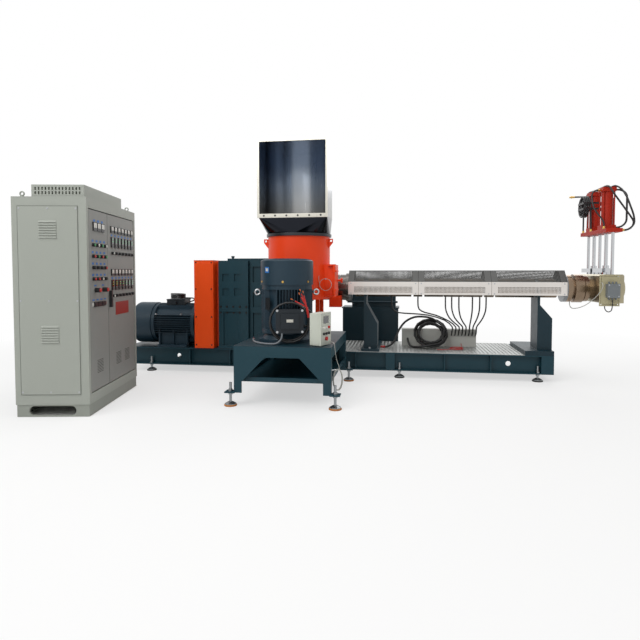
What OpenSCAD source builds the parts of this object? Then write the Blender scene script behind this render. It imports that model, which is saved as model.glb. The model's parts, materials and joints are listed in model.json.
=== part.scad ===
// Plastic recycling extruder: a cutter-compactor on its own stand, a heated barrel on
// a channel frame, a two-piston screen changer and a free-standing control cabinet.
// Millimetres. X runs along the screw to the outlet, Y away from the operator's side.
// Sub-parts are placed from the left front corner of the base frame at floor level,
// and in_frame() puts the origin on the floor under the middle of the whole object.

/* [Base frame] */
// Length of the base frame
base_len = 4950; // [4900:10:5060]
// Width of the base frame
base_w = 950; // [900:10:1050]
// Height of the side channels
base_h = 205; // [190:1:230]
// Clear height under the base frame
base_clear = 80; // [74:1:95]
// Flange width of the side channels
flange_w = 75; // [68:1:90]
// Thickness of the channel steel
channel_t = 12; // [8:1:14]
// Radius of the notch at the lower left ends
notch_r = 110; // [60:5:140]
// Diameter of the holes for the lifting bars
lift_hole_d = 55; // [40:1:70]
// Thickness of the floor plates on the base
deck_t = 5; // [3:1:8]
// Start of the chequer plate
deck_x0 = 2300; // [2200:10:2500]
// Length of the bearer plate under the right post
bearer_len = 300; // [260:5:340]

/* [Levelling feet] */
// Radius of a foot pad
pad_r = 57; // [45:1:65]
// Height of a foot pad
pad_h = 15; // [10:1:20]
// Diameter of a levelling screw
screw_d = 24; // [20:1:27]
// Distance of the first foot from the left end
foot_left = 330; // [280:10:400]
// Distance of the last foot from the right end
foot_right = 160; // [155:1:200]

/* [Motors] */
// Radius of the fan cowls
cowl_r = 250; // [235:1:265]
// Radius over the cooling fins
fin_r = 243; // [230:1:248]
// Radius of the motor core
core_r = 205; // [190:1:212]
// Thickness of a cooling fin
fin_t = 6; // [4:0.5:8]
// Spacing of the cooling fins
fin_pitch = 27; // [22:1:30]
// Shaft height of the main motor above its foot plates
shaft_h = 250; // [249:1:280]
// Thickness of the motor foot plates
foot_plate_t = 25; // [20:1:35]
// Length of the main motor's fan cowl
main_cowl_len = 282; // [240:1:300]
// Length of the main motor's frame
main_frame_len = 546; // [500:1:600]
// Length of the compactor motor's fan cowl
comp_cowl_len = 246; // [200:1:270]
// Length of the compactor motor's frame
comp_frame_len = 450; // [420:1:480]
// Turn of the compactor motor about its shaft
comp_motor_turn = 16; // [0:1:30]

/* [Main drive] */
// Gap between the base's left end and the main motor
motor_inset = 42; // [20:1:80]
// Width of the belt guard along the screw
belt_w = 235; // [200:1:260]
// Depth of the belt guard across the machine
belt_depth = 540; // [500:1:600]
// Top of the belt guard above the floor
belt_top = 1325; // [1280:1:1400]
// Width of the guard's set-back rear part
strip_w = 45; // [30:1:60]
// Length of the gearbox along the screw
gear_len = 365; // [340:1:400]
// Depth of the gearbox across the machine
gear_depth = 400; // [380:1:440]
// Height of the gearbox's split line above the floor
gear_split = 746; // [700:1:800]
// Top of the gearbox above the floor
gear_top = 1324; // [1300:1:1400]
// Length of the thrust housing
thrust_len = 355; // [320:1:400]
// Depth of the thrust housing
thrust_depth = 300; // [280:1:340]

/* [Barrel] */
// Screw axis behind the front of the base
axis_y = 230; // [222:1:260]
// Screw axis above the floor
axis_z = 1010; // [1000:1:1040]
// Length of the feed housing
feed_len = 815; // [790:1:840]
// Radius of the feed housing
feed_r = 150; // [140:1:158]
// Reach of the barrel past the base's right end
barrel_over = 160; // [150:1:170]
// Radius of the barrel
barrel_r = 82; // [76:1:88]
// Radius of the heater bands
heater_r = 105; // [98:1:115]
// Bare length of the barrel at the guard's right end
cover_short = 25; // [20:1:40]
// Half width of the barrel guard
cover_half = 190; // [180:1:205]
// Half width of the barrel guard's flat top
cover_top_half = 65; // [50:1:80]
// Sheet thickness of the barrel guard
cover_t = 3; // [2:0.5:4]
// Width of a support post along the screw
post_w = 155; // [140:1:170]
// Depth of a support post across the machine
post_depth = 300; // [280:1:330]
// Width of a support's neck
neck_w = 27; // [20:1:35]
// Place of the left post from the base's left end
left_post_x = 2897; // [2880:1:2920]

/* [Compactor stand] */
// Width of the stand along the screw
stand_w = 870; // [850:1:900]
// Depth of the stand across the machine
stand_depth = 1280; // [1260:1:1310]
// Height of the stand's deck
stand_h = 540; // [520:1:560]
// Width of a leg
leg_w = 70; // [60:1:80]
// Height of the foot brackets
bracket_z = 120; // [110:1:135]
// Plate thickness of the stand
stand_t = 12; // [8:1:15]

/* [Compactor] */
// Tank axis from the base's left end
tank_x = 2230; // [2215:1:2245]
// Outer radius of the tank
tank_r = 330; // [322:1:335]
// Wall of the tank
tank_t = 10; // [8:1:14]
// Underside of the tank above the floor
tank_z0 = 905; // [900:1:915]
// Top of the tank above the floor
tank_z1 = 1560; // [1540:1:1580]
// Length of the throat between tank and feed housing
throat_len = 120; // [110:1:130]
// Distance between the compactor motor and the tank axis
motor_reach = 650; // [640:1:665]
// Side of the square tank legs
tank_leg = 38; // [30:1:45]
// Radius of the rotor's shaft
rotor_shaft_r = 60; // [50:1:70]
// Radius of the rotor disc
rotor_r = 285; // [260:1:295]
// Width of the tank's side door
door_w = 300; // [280:1:320]
// Height of the tank's side door
door_h = 340; // [320:1:360]

/* [Intake hood] */
// Width of the hood
hood_w = 706; // [700:1:720]
// Front of the hood ahead of the tank axis
hood_reach = 360; // [355:1:380]
// Bottom of the hood's front opening above the floor
hood_z0 = 1750; // [1730:1:1770]
// Top of the hood above the floor
hood_z1 = 2510; // [2450:1:2560]
// Sheet thickness of the hood
hood_t = 4; // [3:0.5:6]
// Width of the hood's front frame bars
hood_bar = 22; // [16:1:30]

/* [Screen changer] */
// Width of the block along the screw
block_w = 200; // [190:1:215]
// Half length of the block across the machine
block_half = 400; // [390:1:420]
// Underside of the block above the floor
block_z0 = 870; // [850:1:880]
// Top of the block above the floor
block_z1 = 1165; // [1160:1:1172]
// Distance between the middle column and the outer ones
column_pitch = 350; // [345:1:356]
// Radius of the columns
column_r = 16; // [14:1:18]
// Radius of the cylinder rods
rod_r = 19; // [17:1:21]
// Radius of the screen pistons
piston_r = 55; // [50:1:58]
// Travel of the screen pistons
piston_travel = 220; // [180:1:230]
// Underside of the cylinder plate above the floor
head_z = 1600; // [1590:1:1620]
// Thickness of the cylinder plate
head_t = 40; // [30:1:45]
// Length of a hydraulic cylinder
cyl_len = 440; // [430:1:460]
// Radius of a hydraulic cylinder's tube
cyl_r = 56; // [52:1:60]
// Radius of the outlet bore
outlet_r = 35; // [30:1:45]

/* [Control cabinet] */
// Depth of the cabinet from its back to its doors
cab_depth = 600; // [560:1:640]
// Width of the cabinet along its doors
cab_w = 1200; // [1150:1:1250]
// Height of the cabinet without the roof vent
cab_h = 1800; // [1750:1:1850]
// Height of the plinth
plinth_h = 100; // [95:1:120]
// Sheet and frame thickness of the cabinet
cab_t = 25; // [20:1:30]
// Turn of the cabinet against the machine
cab_turn = 10; // [0:1:15]
// Width of the narrow door
narrow_w = 400; // [380:1:420]
// Thickness of the doors
panel_t = 20; // [16:1:24]

/* [Clearances] */
// Gap between pieces that slide or turn in one another
fit_gap = 0.3; // [0.2:0.05:0.5]
// Gap round the cabinet doors
door_gap = 8; // [7:1:10]

/* [Hidden] */
$fn = 64;

// Colours of the paints and metals
teal = "#31525c";
deep_teal = "#24414a";
orange = "#cf4d1c";
red = "#a93420";
slate = "#42555e";
steel = "#9aa0a3";
stainless = "#b6b2aa";
cabinet_grey = "#aab0a8";
black = "#1c1d1e";

// Heights and places along the base
base_top = base_clear + base_h;
floor_z = base_top + deck_t;
foot_count = 4;
foot_pitch = (base_len - foot_left - foot_right) / (foot_count - 1);
foot_xs = [for (i = [0:foot_count - 1]) foot_left + i * foot_pitch];
foot_in = (flange_w - channel_t) / 2;
bearer_x = base_len - bearer_len;
bearer_t = 52;

// Main drive chain
motor_y = axis_y + 20;
motor_z = floor_z + foot_plate_t + shaft_h;
motor_x0 = motor_inset;
motor_x1 = motor_x0 + main_cowl_len + main_frame_len;
belt_x0 = motor_x1 + 30;
strip_x0 = belt_x0 + belt_w;
gear_x0 = strip_x0 + strip_w;
thrust_x0 = gear_x0 + gear_len;
feed_x0 = thrust_x0 + thrust_len;
feed_x1 = feed_x0 + feed_len;
gear_y0 = axis_y - gear_depth / 2;

// Barrel guard and supports
barrel_x1 = base_len + barrel_over;
cover_x0 = feed_x1 + 5;
cover_len = barrel_x1 - cover_short - cover_x0;
cover_gap = 3;
cover_count = 3;
cover_step = (cover_len + cover_gap) / cover_count;
cover_sec = cover_step - cover_gap;
cover_drop = 75;
cover_knee = 68;
cover_rise = 198;
right_post_x = base_len - post_w - 5;

// Stand and compactor
tank_y = axis_y - feed_r - throat_len - tank_r;
stand_x0 = tank_x - 380;
stand_y1 = tank_y + 170;
stand_y0 = stand_y1 - stand_depth;
stand_cx = stand_x0 + stand_w / 2;
stand_beam = 96;
comp_x = tank_x + 6;
comp_y = tank_y - motor_reach;
comp_z = stand_h + 80;
stand_foot_x = stand_w / 2 + 35;
stand_feet = [for (s = [-1, 1], y = [stand_y0 + 15, stand_y1 - 35]) [stand_cx + s * stand_foot_x, y]];

// Tank door: collar on the tank's right side, hinge pin at its front
collar_x = tank_x + tank_r + 60;
collar_t = 16;
door_z0 = tank_z0 + 25;
hinge_r = 8;
hinge_x = collar_x + 10;
hinge_y = tank_y - door_w / 2 - 34;
door_t = 14;

// Screen changer
block_x0 = barrel_x1 + 255;
block_cx = block_x0 + block_w / 2;
piston_ys = [axis_y - column_pitch / 2, axis_y + column_pitch / 2];
column_ys = [for (i = [-1:1]) axis_y + i * column_pitch];
cross_z = block_z1 + 20;
cross_h = 45;
outlet_len = 125;

// Cabinet: near right corner on the floor, and doors
cab_x = 787;
cab_y = -1991;
door_top = cab_h - 93;
door_bottom = 190;
door_edge = 45;
pivot_r = 6;
wide_v0 = door_edge + narrow_w + door_gap;
wide_w = cab_w - door_edge - wide_v0;

// Hydraulic unit behind the base
unit_x0 = 2560;
unit_w = 725;
unit_y0 = base_w;
unit_depth = 385;

// Origin under the middle of the whole object
cab_corners = [for (u = [-cab_depth, 0], v = [0, cab_w])
  [cab_x + u * cos(cab_turn) - v * sin(cab_turn), cab_y + u * sin(cab_turn) + v * cos(cab_turn)]];
x_lo = min([0, for (c = cab_corners) c[0]]);
x_hi = block_x0 + block_w + outlet_len;
y_lo = min([stand_y0, for (c = cab_corners) c[1]]);
y_hi = unit_y0 + unit_depth;
middle = [(x_lo + x_hi) / 2, (y_lo + y_hi) / 2, 0];

module in_frame() { translate(-middle) children(); }

module in_cabinet() {
  in_frame() translate([cab_x, cab_y, 0]) rotate([0, 0, cab_turn]) translate([-cab_depth, 0, 0]) children();
}

// A box from its lowest to its highest corner
module box(lo, hi) { translate(lo) cube(hi - lo); }

// Extrudes an outline drawn in Y and Z along X
module along_x(x0, x1) { translate([x0, 0, 0]) rotate([90, 0, 90]) linear_extrude(x1 - x0) children(); }

// Extrudes an outline drawn in X and Z along Y
module along_y(y0, y1) { translate([0, y1, 0]) rotate([90, 0, 0]) linear_extrude(y1 - y0) children(); }

// A round bar along X or Y
module bar_x(x0, x1, r, y, z) { translate([x0, y, z]) rotate([0, 90, 0]) cylinder(r = r, h = x1 - x0); }
module bar_y(y0, y1, r, x, z) { translate([x, y0, z]) rotate([-90, 0, 0]) cylinder(r = r, h = y1 - y0); }
module bar_z(z0, z1, r, x, y) { translate([x, y, z0]) cylinder(r = r, h = z1 - z0); }

function arc(c, r, a0, a1, n) = [for (i = [0:n])
    c + r * [cos(a0 + (a1 - a0) * i / n), sin(a0 + (a1 - a0) * i / n)]];

// Smooth route through hand-chosen points, and the tube swept along it
function unit3(v) = v / norm(v);
function knot(p, i) = p[min(max(i, 0), len(p) - 1)];
function bend(a, b, c, d, t) =
  ((2 * b) + (c - a) * t + (2 * a - 5 * b + 4 * c - d) * t * t + (3 * b - a - 3 * c + d) * t * t * t) / 2;
function route(p, n) = concat(
  [for (i = [0:len(p) - 2], k = [0:n - 1]) bend(knot(p, i - 1), p[i], p[i + 1], knot(p, i + 2), k / n)],
  [p[len(p) - 1]]);
function heading(q, i) = unit3(knot(q, i + 1) - knot(q, i - 1));
function side(t) = unit3(cross(t, abs(t[2]) < 0.9 ? [0, 0, 1] : [1, 0, 0]));
function carried(q, i, found) = i == len(q) ? found :
  let (t = heading(q, i), last = i == 0 ? side(t) : found[i - 1], n = unit3(last - t * (last * t)))
  carried(q, i + 1, concat(found, [n]));

module tube(p, r, steps, sides) {
  q = route(p, steps);
  n = carried(q, 0, []);
  last = len(q) - 1;
  points = [for (i = [0:last], j = [0:sides - 1])
    let (b = cross(heading(q, i), n[i]), a = 360 * j / sides) q[i] + r * (cos(a) * n[i] + sin(a) * b)];
  walls = [for (i = [0:last - 1], j = [0:sides - 1])
    [i * sides + j, (i + 1) * sides + j, (i + 1) * sides + (j + 1) % sides, i * sides + (j + 1) % sides]];
  near_cap = [for (j = [0:sides - 1]) j];
  far_cap = [for (j = [0:sides - 1]) last * sides + sides - 1 - j];
  polyhedron(points, concat(walls, [near_cap, far_cap]), convexity = 6);
}

// Base frame

module side_beam() {
  difference() {
    union() {
      along_x(0, base_len) translate([0, base_clear]) polygon([[0, 0], [flange_w, 0], [flange_w, base_h],
        [0, base_h], [0, base_h - channel_t], [flange_w - channel_t, base_h - channel_t],
        [flange_w - channel_t, channel_t], [0, channel_t]]);
      for (i = [0:foot_count - 2], k = [1, 2])
        box([foot_xs[i] + foot_pitch * k / 3 - 5, 8, base_clear + channel_t],
            [foot_xs[i] + foot_pitch * k / 3 + 5, flange_w - channel_t, base_top - channel_t]);
      box([foot_xs[2] - 153, 0, base_clear + channel_t], [foot_xs[2] - 53, channel_t, base_top - channel_t]);
      box([base_len - foot_right + 30, 0, base_clear + channel_t],
          [base_len, channel_t, base_top - channel_t]);
      box([base_len - channel_t, 0, base_clear + channel_t], [base_len, flange_w, base_top - channel_t]);
    }
    bar_y(-1, flange_w + 1, notch_r, 0, base_clear);
    for (x = [foot_left + 340, base_len - foot_right - 303])
      bar_y(-1, flange_w + 1, lift_hole_d / 2, x, base_clear + base_h / 2);
    for (x = foot_xs) bar_z(base_clear - 1, base_clear + channel_t + 1, screw_d / 2 + 1, x, foot_in);
  }
}

module base_beams() {
  color(teal) in_frame() {
    side_beam();
    translate([0, base_w, 0]) mirror([0, 1, 0]) side_beam();
  }
}

module base_cross_members() {
  count = 6;
  first = notch_r + 40;
  step = (base_len - channel_t - first) / (count - 1);
  color(teal) in_frame() for (i = [0:count - 1]) translate([first + i * step, 0, 0])
    difference() {
      box([0, flange_w, base_clear + 15], [channel_t, base_w - flange_w, base_top]);
      bar_x(-1, channel_t + 1, base_h / 4, base_w / 2, base_clear + base_h / 2);
    }
}

module drive_plate() { color(deep_teal) in_frame() box([0, 0, base_top], [deck_x0 - 2, base_w, floor_z]); }

module deck_plate() { color(stainless) in_frame()
    box([deck_x0, 0, base_top], [bearer_x - 2, base_w, floor_z]); }

// Screw, domed plate and two nuts that clamp a seat plate
module foot_screw(x, y, seat, seat_t) {
  nut_h = 18;
  nut_r = screw_d * 0.85;
  dome = pad_r - 6;
  translate([x, y, 0]) {
    rotate_extrude() polygon([[0, pad_h], [dome, pad_h], [dome, pad_h + 6], [screw_d, pad_h + 22],
        [0, pad_h + 22]]);
    bar_z(pad_h + 20, seat + seat_t + nut_h + 60, screw_d / 2, 0, 0);
    translate([0, 0, seat - nut_h]) cylinder(r = nut_r, h = nut_h, $fn = 6);
    translate([0, 0, seat + seat_t]) cylinder(r = nut_r, h = nut_h, $fn = 6);
  }
}

module levelling_screws() {
  color(steel) in_frame() {
    for (x = foot_xs, y = [foot_in, base_w - foot_in]) foot_screw(x, y, base_clear, channel_t);
    for (p = stand_feet) foot_screw(p[0], p[1], bracket_z, stand_t);
  }
}

module foot_pad() {
  rotate_extrude() polygon([[0, 0], [pad_r - 3, 0], [pad_r, 3], [pad_r, pad_h - 3], [pad_r - 3, pad_h],
      [0, pad_h]]);
}

module levelling_pads() {
  color(orange) in_frame() {
    for (x = foot_xs, y = [foot_in, base_w - foot_in]) translate([x, y, 0]) foot_pad();
    for (p = stand_feet) translate([p[0], p[1], 0]) foot_pad();
  }
}

// Motors

shield_t = 42;
fin_side = 4;
seat_r = core_r + 18;

// Motor frame along Z with four groups of parallel fins and an end shield at each end
module finned_frame(len) {
  cylinder(r = core_r, h = len);
  intersection() {
    cylinder(r = fin_r, h = len);
    for (q = [0:3], i = [-fin_side:fin_side]) rotate(90 * q)
      translate([core_r * 0.6, i * fin_pitch - fin_t / 2, shield_t])
          cube([fin_r, fin_t, len - 2 * shield_t]);
  }
  for (z = [0, len - shield_t]) translate([0, 0, z]) cylinder(r = fin_r - 5, h = shield_t);
}

// Fan cowl along Z: closed, rounded end at Z = 0 with a ring of air slots
module fan_cowl(len, round_r, rise) {
  slot_count = 28;
  difference() {
    rotate_extrude() polygon(concat([[0, 0], [cowl_r * 0.45, 0]],
      [for (i = [0:8]) [cowl_r - round_r + round_r * sin(i * 11.25), rise * (1 - cos(i * 11.25))]],
      [[cowl_r, len], [0, len]]));
    for (i = [0:slot_count - 1]) rotate(i * 360 / slot_count)
      translate([cowl_r * 0.28, -4, -1]) cube([cowl_r * 0.36, 8, 21]);
  }
}

main_box_x = motor_x0 + main_cowl_len + 150;
main_box_len = 230;
main_box_half = 90;

module main_motor_frame() {
  frame_x0 = motor_x0 + main_cowl_len;
  foot_x0 = frame_x0 + 90;
  foot_len = main_frame_len - 180;
  color(slate) in_frame() difference() {
    union() {
      translate([frame_x0, motor_y, motor_z]) rotate([0, 90, 0]) finned_frame(main_frame_len);
      for (s = [-1, 1]) translate([0, motor_y, 0]) {
        box([foot_x0, min(s * 155, s * 245), floor_z],
            [foot_x0 + foot_len, max(s * 155, s * 245), floor_z + foot_plate_t]);
        for (x = [foot_x0, foot_x0 + foot_len / 2 - 10, foot_x0 + foot_len - 20])
          along_y(min(s * 160, s * 200), max(s * 160, s * 200))
            polygon([[x, floor_z + foot_plate_t - 1], [x + 20, floor_z + foot_plate_t - 1],
                [x + 20, motor_z - 60], [x, motor_z - 60]]);
        box([foot_x0, min(s * 160, s * 176), floor_z + foot_plate_t - 1],
            [foot_x0 + foot_len, max(s * 160, s * 176), motor_z - 90]);
      }
      bar_x(motor_x1 - 1, belt_x0, 38, motor_y, motor_z);
    }
    box([main_box_x - 5, motor_y - main_box_half - 5, motor_z + seat_r],
        [main_box_x + main_box_len + 5, motor_y + main_box_half + 5, motor_z + fin_r + 10]);
    for (s = [-1, 1], x = [foot_x0 + 45, foot_x0 + foot_len - 45])
      bar_z(floor_z - 1, floor_z + foot_plate_t + 1, 12, x, motor_y + s * 222);
  }
}

module main_motor_cowl() {
  color(slate) in_frame() translate([motor_x0, motor_y, motor_z]) rotate([0, 90, 0])
    fan_cowl(main_cowl_len, 110, 70);
}

module main_motor_terminal_box() {
  z0 = motor_z + seat_r;
  color(black) in_frame() {
    box([main_box_x, motor_y - main_box_half, z0],
        [main_box_x + main_box_len, motor_y + main_box_half, z0 + 58]);
    box([main_box_x - 4, motor_y - main_box_half - 4, z0 + 58],
        [main_box_x + main_box_len + 4, motor_y + main_box_half + 4, z0 + 70]);
    bar_y(motor_y - main_box_half - 30, motor_y - main_box_half + 1, 18, main_box_x + main_box_len / 2,
        z0 + 30);
  }
}

module compactor_motor_place() {
  in_frame() translate([comp_x, comp_y, 0]) rotate([0, 0, comp_motor_turn]) children();
}

term_w = 237;
term_h = 205;
term_z0 = comp_z + 28;
term_depth = 112;

module compactor_motor_frame() {
  flange_t = 26;
  eye_z = comp_z + comp_frame_len - 70;
  color(slate) compactor_motor_place() {
    difference() {
      union() {
        bar_z(stand_h, stand_h + flange_t, fin_r + 30, 0, 0);
        translate([0, 0, stand_h + flange_t])
          cylinder(r1 = fin_r - 10, r2 = core_r, h = comp_z - stand_h - flange_t);
        translate([0, 0, comp_z]) finned_frame(comp_frame_len);
        for (s = [-1, 1]) {
          bar_x(min(s * (fin_r - 30), s * (fin_r + 14)), max(s * (fin_r - 30), s * (fin_r + 14)), 12, 0,
              eye_z);
          translate([s * (fin_r + 36), 0, eye_z]) rotate([90, 0, 0]) rotate_extrude() translate([24, 0])
              circle(r = 8);
        }
      }
      box([-term_w / 2 - 5, -fin_r - 10, term_z0 - 5], [term_w / 2 + 5, -seat_r, term_z0 + term_h + 5]);
      for (i = [0:7]) rotate(i * 45 + 22.5) bar_z(stand_h - 1, stand_h + flange_t + 1, 9, fin_r + 15, 0);
    }
  }
}

module compactor_motor_cowl() {
  color(slate) compactor_motor_place() translate([0, 0, comp_z + comp_frame_len + comp_cowl_len])
      mirror([0, 0, 1])
    fan_cowl(comp_cowl_len, 90, 26);
}

module compactor_motor_terminal_box() {
  lid_t = 16;
  color("#2c3236") compactor_motor_place() {
    box([-term_w / 2, -seat_r - term_depth, term_z0], [term_w / 2, -seat_r, term_z0 + term_h]);
    box([-term_w / 2 - 5, -seat_r - term_depth - lid_t, term_z0 - 5],
        [term_w / 2 + 5, -seat_r - term_depth, term_z0 + term_h + 5]);
    box([-term_w / 2 + 38, -seat_r - term_depth - lid_t - 14, term_z0 + 34],
        [term_w / 2 - 38, -seat_r - term_depth - lid_t, term_z0 + term_h - 34]);
    bar_x(term_w / 2 - 1, term_w / 2 + 22, 17, -seat_r - term_depth / 2, term_z0 + 50);
  }
}

// Main drive

module belt_guard() {
  lip = 14;
  y0 = motor_y - belt_depth / 2;
  strip_in = 140;
  color(orange) in_frame() {
    box([belt_x0, y0, floor_z], [strip_x0, y0 + belt_depth, belt_top]);
    box([belt_x0 + lip, y0 - 4, floor_z + lip], [strip_x0 - lip, y0, belt_top - 2 * lip]);
    box([belt_x0 - 3, y0 - 3, belt_top], [strip_x0 + 3, y0 + belt_depth + 3, belt_top + 4]);
    box([strip_x0, y0 + strip_in, floor_z], [gear_x0, y0 + belt_depth - strip_in, belt_top - 8]);
  }
}

module gearbox_lower() {
  foot = 28;
  pocket = 18;
  y1 = gear_y0 + gear_depth;
  color(teal) in_frame() difference() {
    union() {
      box([gear_x0, gear_y0, floor_z], [thrust_x0, y1, gear_split]);
      box([gear_x0 + 4, gear_y0 - foot, floor_z], [thrust_x0 - 4, y1 + foot, floor_z + foot]);
    }
    for (y = [gear_y0 - 1, y1 - pocket])
      box([gear_x0 + 62, y, floor_z + foot + 10], [thrust_x0 - 118, y + pocket + 1, gear_split - 26]);
    for (x = [gear_x0 + 40, thrust_x0 - 40], y = [gear_y0 - foot / 2, y1 + foot / 2])
      bar_z(floor_z - 1, floor_z + foot + 1, 8, x, y);
  }
}

module gearbox_upper() {
  pocket = 16;
  inset = 3;
  y0 = gear_y0 + inset;
  y1 = gear_y0 + gear_depth - inset;
  color(teal) in_frame() {
    difference() {
      box([gear_x0, y0, gear_split], [thrust_x0 - inset, y1, gear_top]);
      for (y = [y0 - 1, y1 - pocket], x = [gear_x0 + 50, gear_x0 + 192],
          z = [gear_split + 165, gear_split + 336])
        box([x, y, z], [x + 78, y + pocket + 1, z + 86]);
    }
    gearbox_lid();
  }
}

// Top cover with its bolt holes and breather
module gearbox_lid() {
  lid_t = 27;
  z1 = gear_top + lid_t;
  difference() {
    box([gear_x0 + 90, axis_y - 125, gear_top - 1], [feed_x0 - 45, axis_y + 125, z1]);
    box([thrust_x0 - 3, axis_y - 126, gear_top - 2], [feed_x0, axis_y + 126, gear_top]);
    for (x = [gear_x0 + 115, feed_x0 - 70], y = [axis_y - 105, axis_y + 105])
        bar_z(gear_top, z1 + 1, 7, x, y);
  }
  bar_z(z1, z1 + 13, 14, gear_x0 + 130, axis_y - 40);
  bar_z(z1 + 13, z1 + 31, 20, gear_x0 + 130, axis_y - 40);
}

module thrust_housing() {
  y0 = axis_y - thrust_depth / 2;
  y1 = axis_y + thrust_depth / 2;
  boss_t = 60;
  rib_t = 16;
  color(teal) in_frame() {
    difference() {
      box([thrust_x0, y0, floor_z], [feed_x0 - boss_t, y1, gear_top]);
      for (y = [y0 - 1, y1 - 24],
          z = [[floor_z + 60, gear_split - 40], [gear_split + 30, axis_z - 60],
              [axis_z + 60, gear_top - 70]])
        box([thrust_x0 + 40, y, z[0]], [feed_x0 - boss_t - 40, y + 25, z[1]]);
    }
    bar_x(feed_x0 - boss_t, feed_x0, feed_r + 25, axis_y, axis_z);
    for (y = [y0 + 20, y1 - 20 - rib_t])
      along_y(y, y + rib_t) polygon([[feed_x0 - boss_t, floor_z], [feed_x0 - 4, floor_z],
        [feed_x0 - 4, floor_z + 60], [feed_x0 - boss_t + 12, axis_z - feed_r],
            [feed_x0 - boss_t, axis_z - feed_r]]);
  }
}

// Barrel

throat_half = 150;
throat_z0 = axis_z - 100;
throat_z1 = axis_z + 100;
throat_wall = 30;

module feed_housing() {
  flange_t = 32;
  groove = 12;
  color("#3a4044") in_frame() difference() {
    translate([feed_x0, axis_y, axis_z]) rotate([0, 90, 0]) rotate_extrude() polygon(concat(
      [[0, 0], [feed_r + 20, 0], [feed_r + 20, flange_t], [feed_r, flange_t]],
      [for (i = [0:2]) each [[feed_r, feed_len - 200 + i * 44], [feed_r - groove, feed_len - 200 + i * 44],
        [feed_r - groove, feed_len - 200 + i * 44 + groove], [feed_r, feed_len - 200 + i * 44 + groove]]],
      [[feed_r, feed_len - flange_t], [feed_r + 15, feed_len - flange_t], [feed_r + 15, feed_len],
          [0, feed_len]]));
    box([tank_x - throat_half + throat_wall, axis_y - feed_r - 5, throat_z0 + throat_wall],
        [tank_x + throat_half - throat_wall, axis_y - feed_r + 70, throat_z1 - throat_wall]);
  }
}

module feed_throat() {
  gate_x0 = tank_x + 274;
  gate_w = 137;
  gate_y0 = axis_y - feed_r - 70;
  color(orange) in_frame() {
    difference() {
      box([tank_x - throat_half, tank_y + tank_r - 60, throat_z0],
          [tank_x + throat_half, axis_y - feed_r + 60, throat_z1]);
      box([tank_x - throat_half + throat_wall, tank_y, throat_z0 + throat_wall],
          [tank_x + throat_half - throat_wall, axis_y, throat_z1 - throat_wall]);
      bar_z(throat_z0 - 1, throat_z1 + 1, tank_r + fit_gap, tank_x, tank_y);
      bar_x(feed_x0, feed_x1, feed_r + fit_gap, axis_y, axis_z);
    }
    difference() {
      box([gate_x0, gate_y0, axis_z - feed_r - 70], [gate_x0 + gate_w, gate_y0 + 150, axis_z - feed_r + 60]);
      bar_x(feed_x0, feed_x1, feed_r + fit_gap, axis_y, axis_z);
    }
  }
}

module barrel() {
  color(steel) in_frame() {
    bar_x(feed_x1, barrel_x1, barrel_r, axis_y, axis_z);
    bar_x(feed_x1, feed_x1 + 30, feed_r + 15, axis_y, axis_z);
    bar_x(barrel_x1 - 40, barrel_x1, feed_r, axis_y, axis_z);
  }
}

// Stretches of the barrel free of bulkheads, posts and flanges, each filled with heater bands
bulkhead_in = 60;
bulkhead_t = 4;
band_gap = 9;
bulkheads = [for (i = [0:cover_count - 1], x = [bulkhead_in, cover_sec - bulkhead_in])
    cover_x0 + i * cover_step + x];
stretches = [
  [bulkheads[0], left_post_x], [left_post_x + neck_w, bulkheads[1]], [bulkheads[1], bulkheads[2]],
  [bulkheads[2], bulkheads[3]], [bulkheads[3], bulkheads[4]],
  [bulkheads[4], right_post_x], [right_post_x + neck_w, bulkheads[5]]];

module heater_bands() {
  color("#8d7a63") in_frame() for (s = stretches) {
    x0 = s[0] + bulkhead_t + band_gap;
    x1 = s[1] - bulkhead_t - band_gap;
    count = max(1, round((x1 - x0) / 230));
    band = (x1 - x0 - (count - 1) * band_gap) / count;
    for (i = [0:count - 1]) difference() {
      bar_x(x0 + i * (band + band_gap), x0 + i * (band + band_gap) + band, heater_r, axis_y, axis_z);
      bar_x(x0 - 1, x1 + 1, barrel_r + fit_gap, axis_y, axis_z);
    }
  }
}

function cover_outline(t) = [
  [-cover_half + t, -cover_drop], [-cover_half + t, cover_knee - t / 3],
      [-cover_top_half + t / 3, cover_rise - t],
  [cover_top_half - t / 3, cover_rise - t], [cover_half - t, cover_knee - t / 3],
      [cover_half - t, -cover_drop]];

module barrel_guard() {
  color(stainless) in_frame() for (i = [0:cover_count - 1]) {
    x0 = cover_x0 + i * cover_step;
    difference() {
      along_x(x0, x0 + cover_sec) translate([axis_y, axis_z]) polygon(cover_outline(0));
      for (gap = [[-1, bulkhead_in], [bulkhead_in + bulkhead_t, cover_sec - bulkhead_in],
                  [cover_sec - bulkhead_in + bulkhead_t, cover_sec + 1]])
        along_x(x0 + gap[0], x0 + gap[1]) translate([axis_y, axis_z])
          polygon([for (p = cover_outline(cover_t)) [p[0], p[1] < 0 ? p[1] - 1 : p[1]]]);
      bar_x(x0 - 1, x0 + cover_sec + 1, barrel_r + fit_gap, axis_y, axis_z);
    }
  }
}

module support_post(x, seat, plate_x0, plate_x1, plate_t, slope_z) {
  y0 = axis_y - post_depth / 2;
  neck_z = axis_z - 180;
  difference() {
    union() {
      box([plate_x0, 0, seat], [plate_x1, base_w - 150, seat + plate_t]);
      along_y(y0, y0 + post_depth) polygon([[x, seat + plate_t], [x, axis_z], [x + neck_w, axis_z],
        [x + neck_w, neck_z], [x + post_w, slope_z], [x + post_w, seat + plate_t]]);
    }
    bar_x(x - 1, x + post_w + 1, barrel_r + fit_gap, axis_y, axis_z);
  }
}

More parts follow.
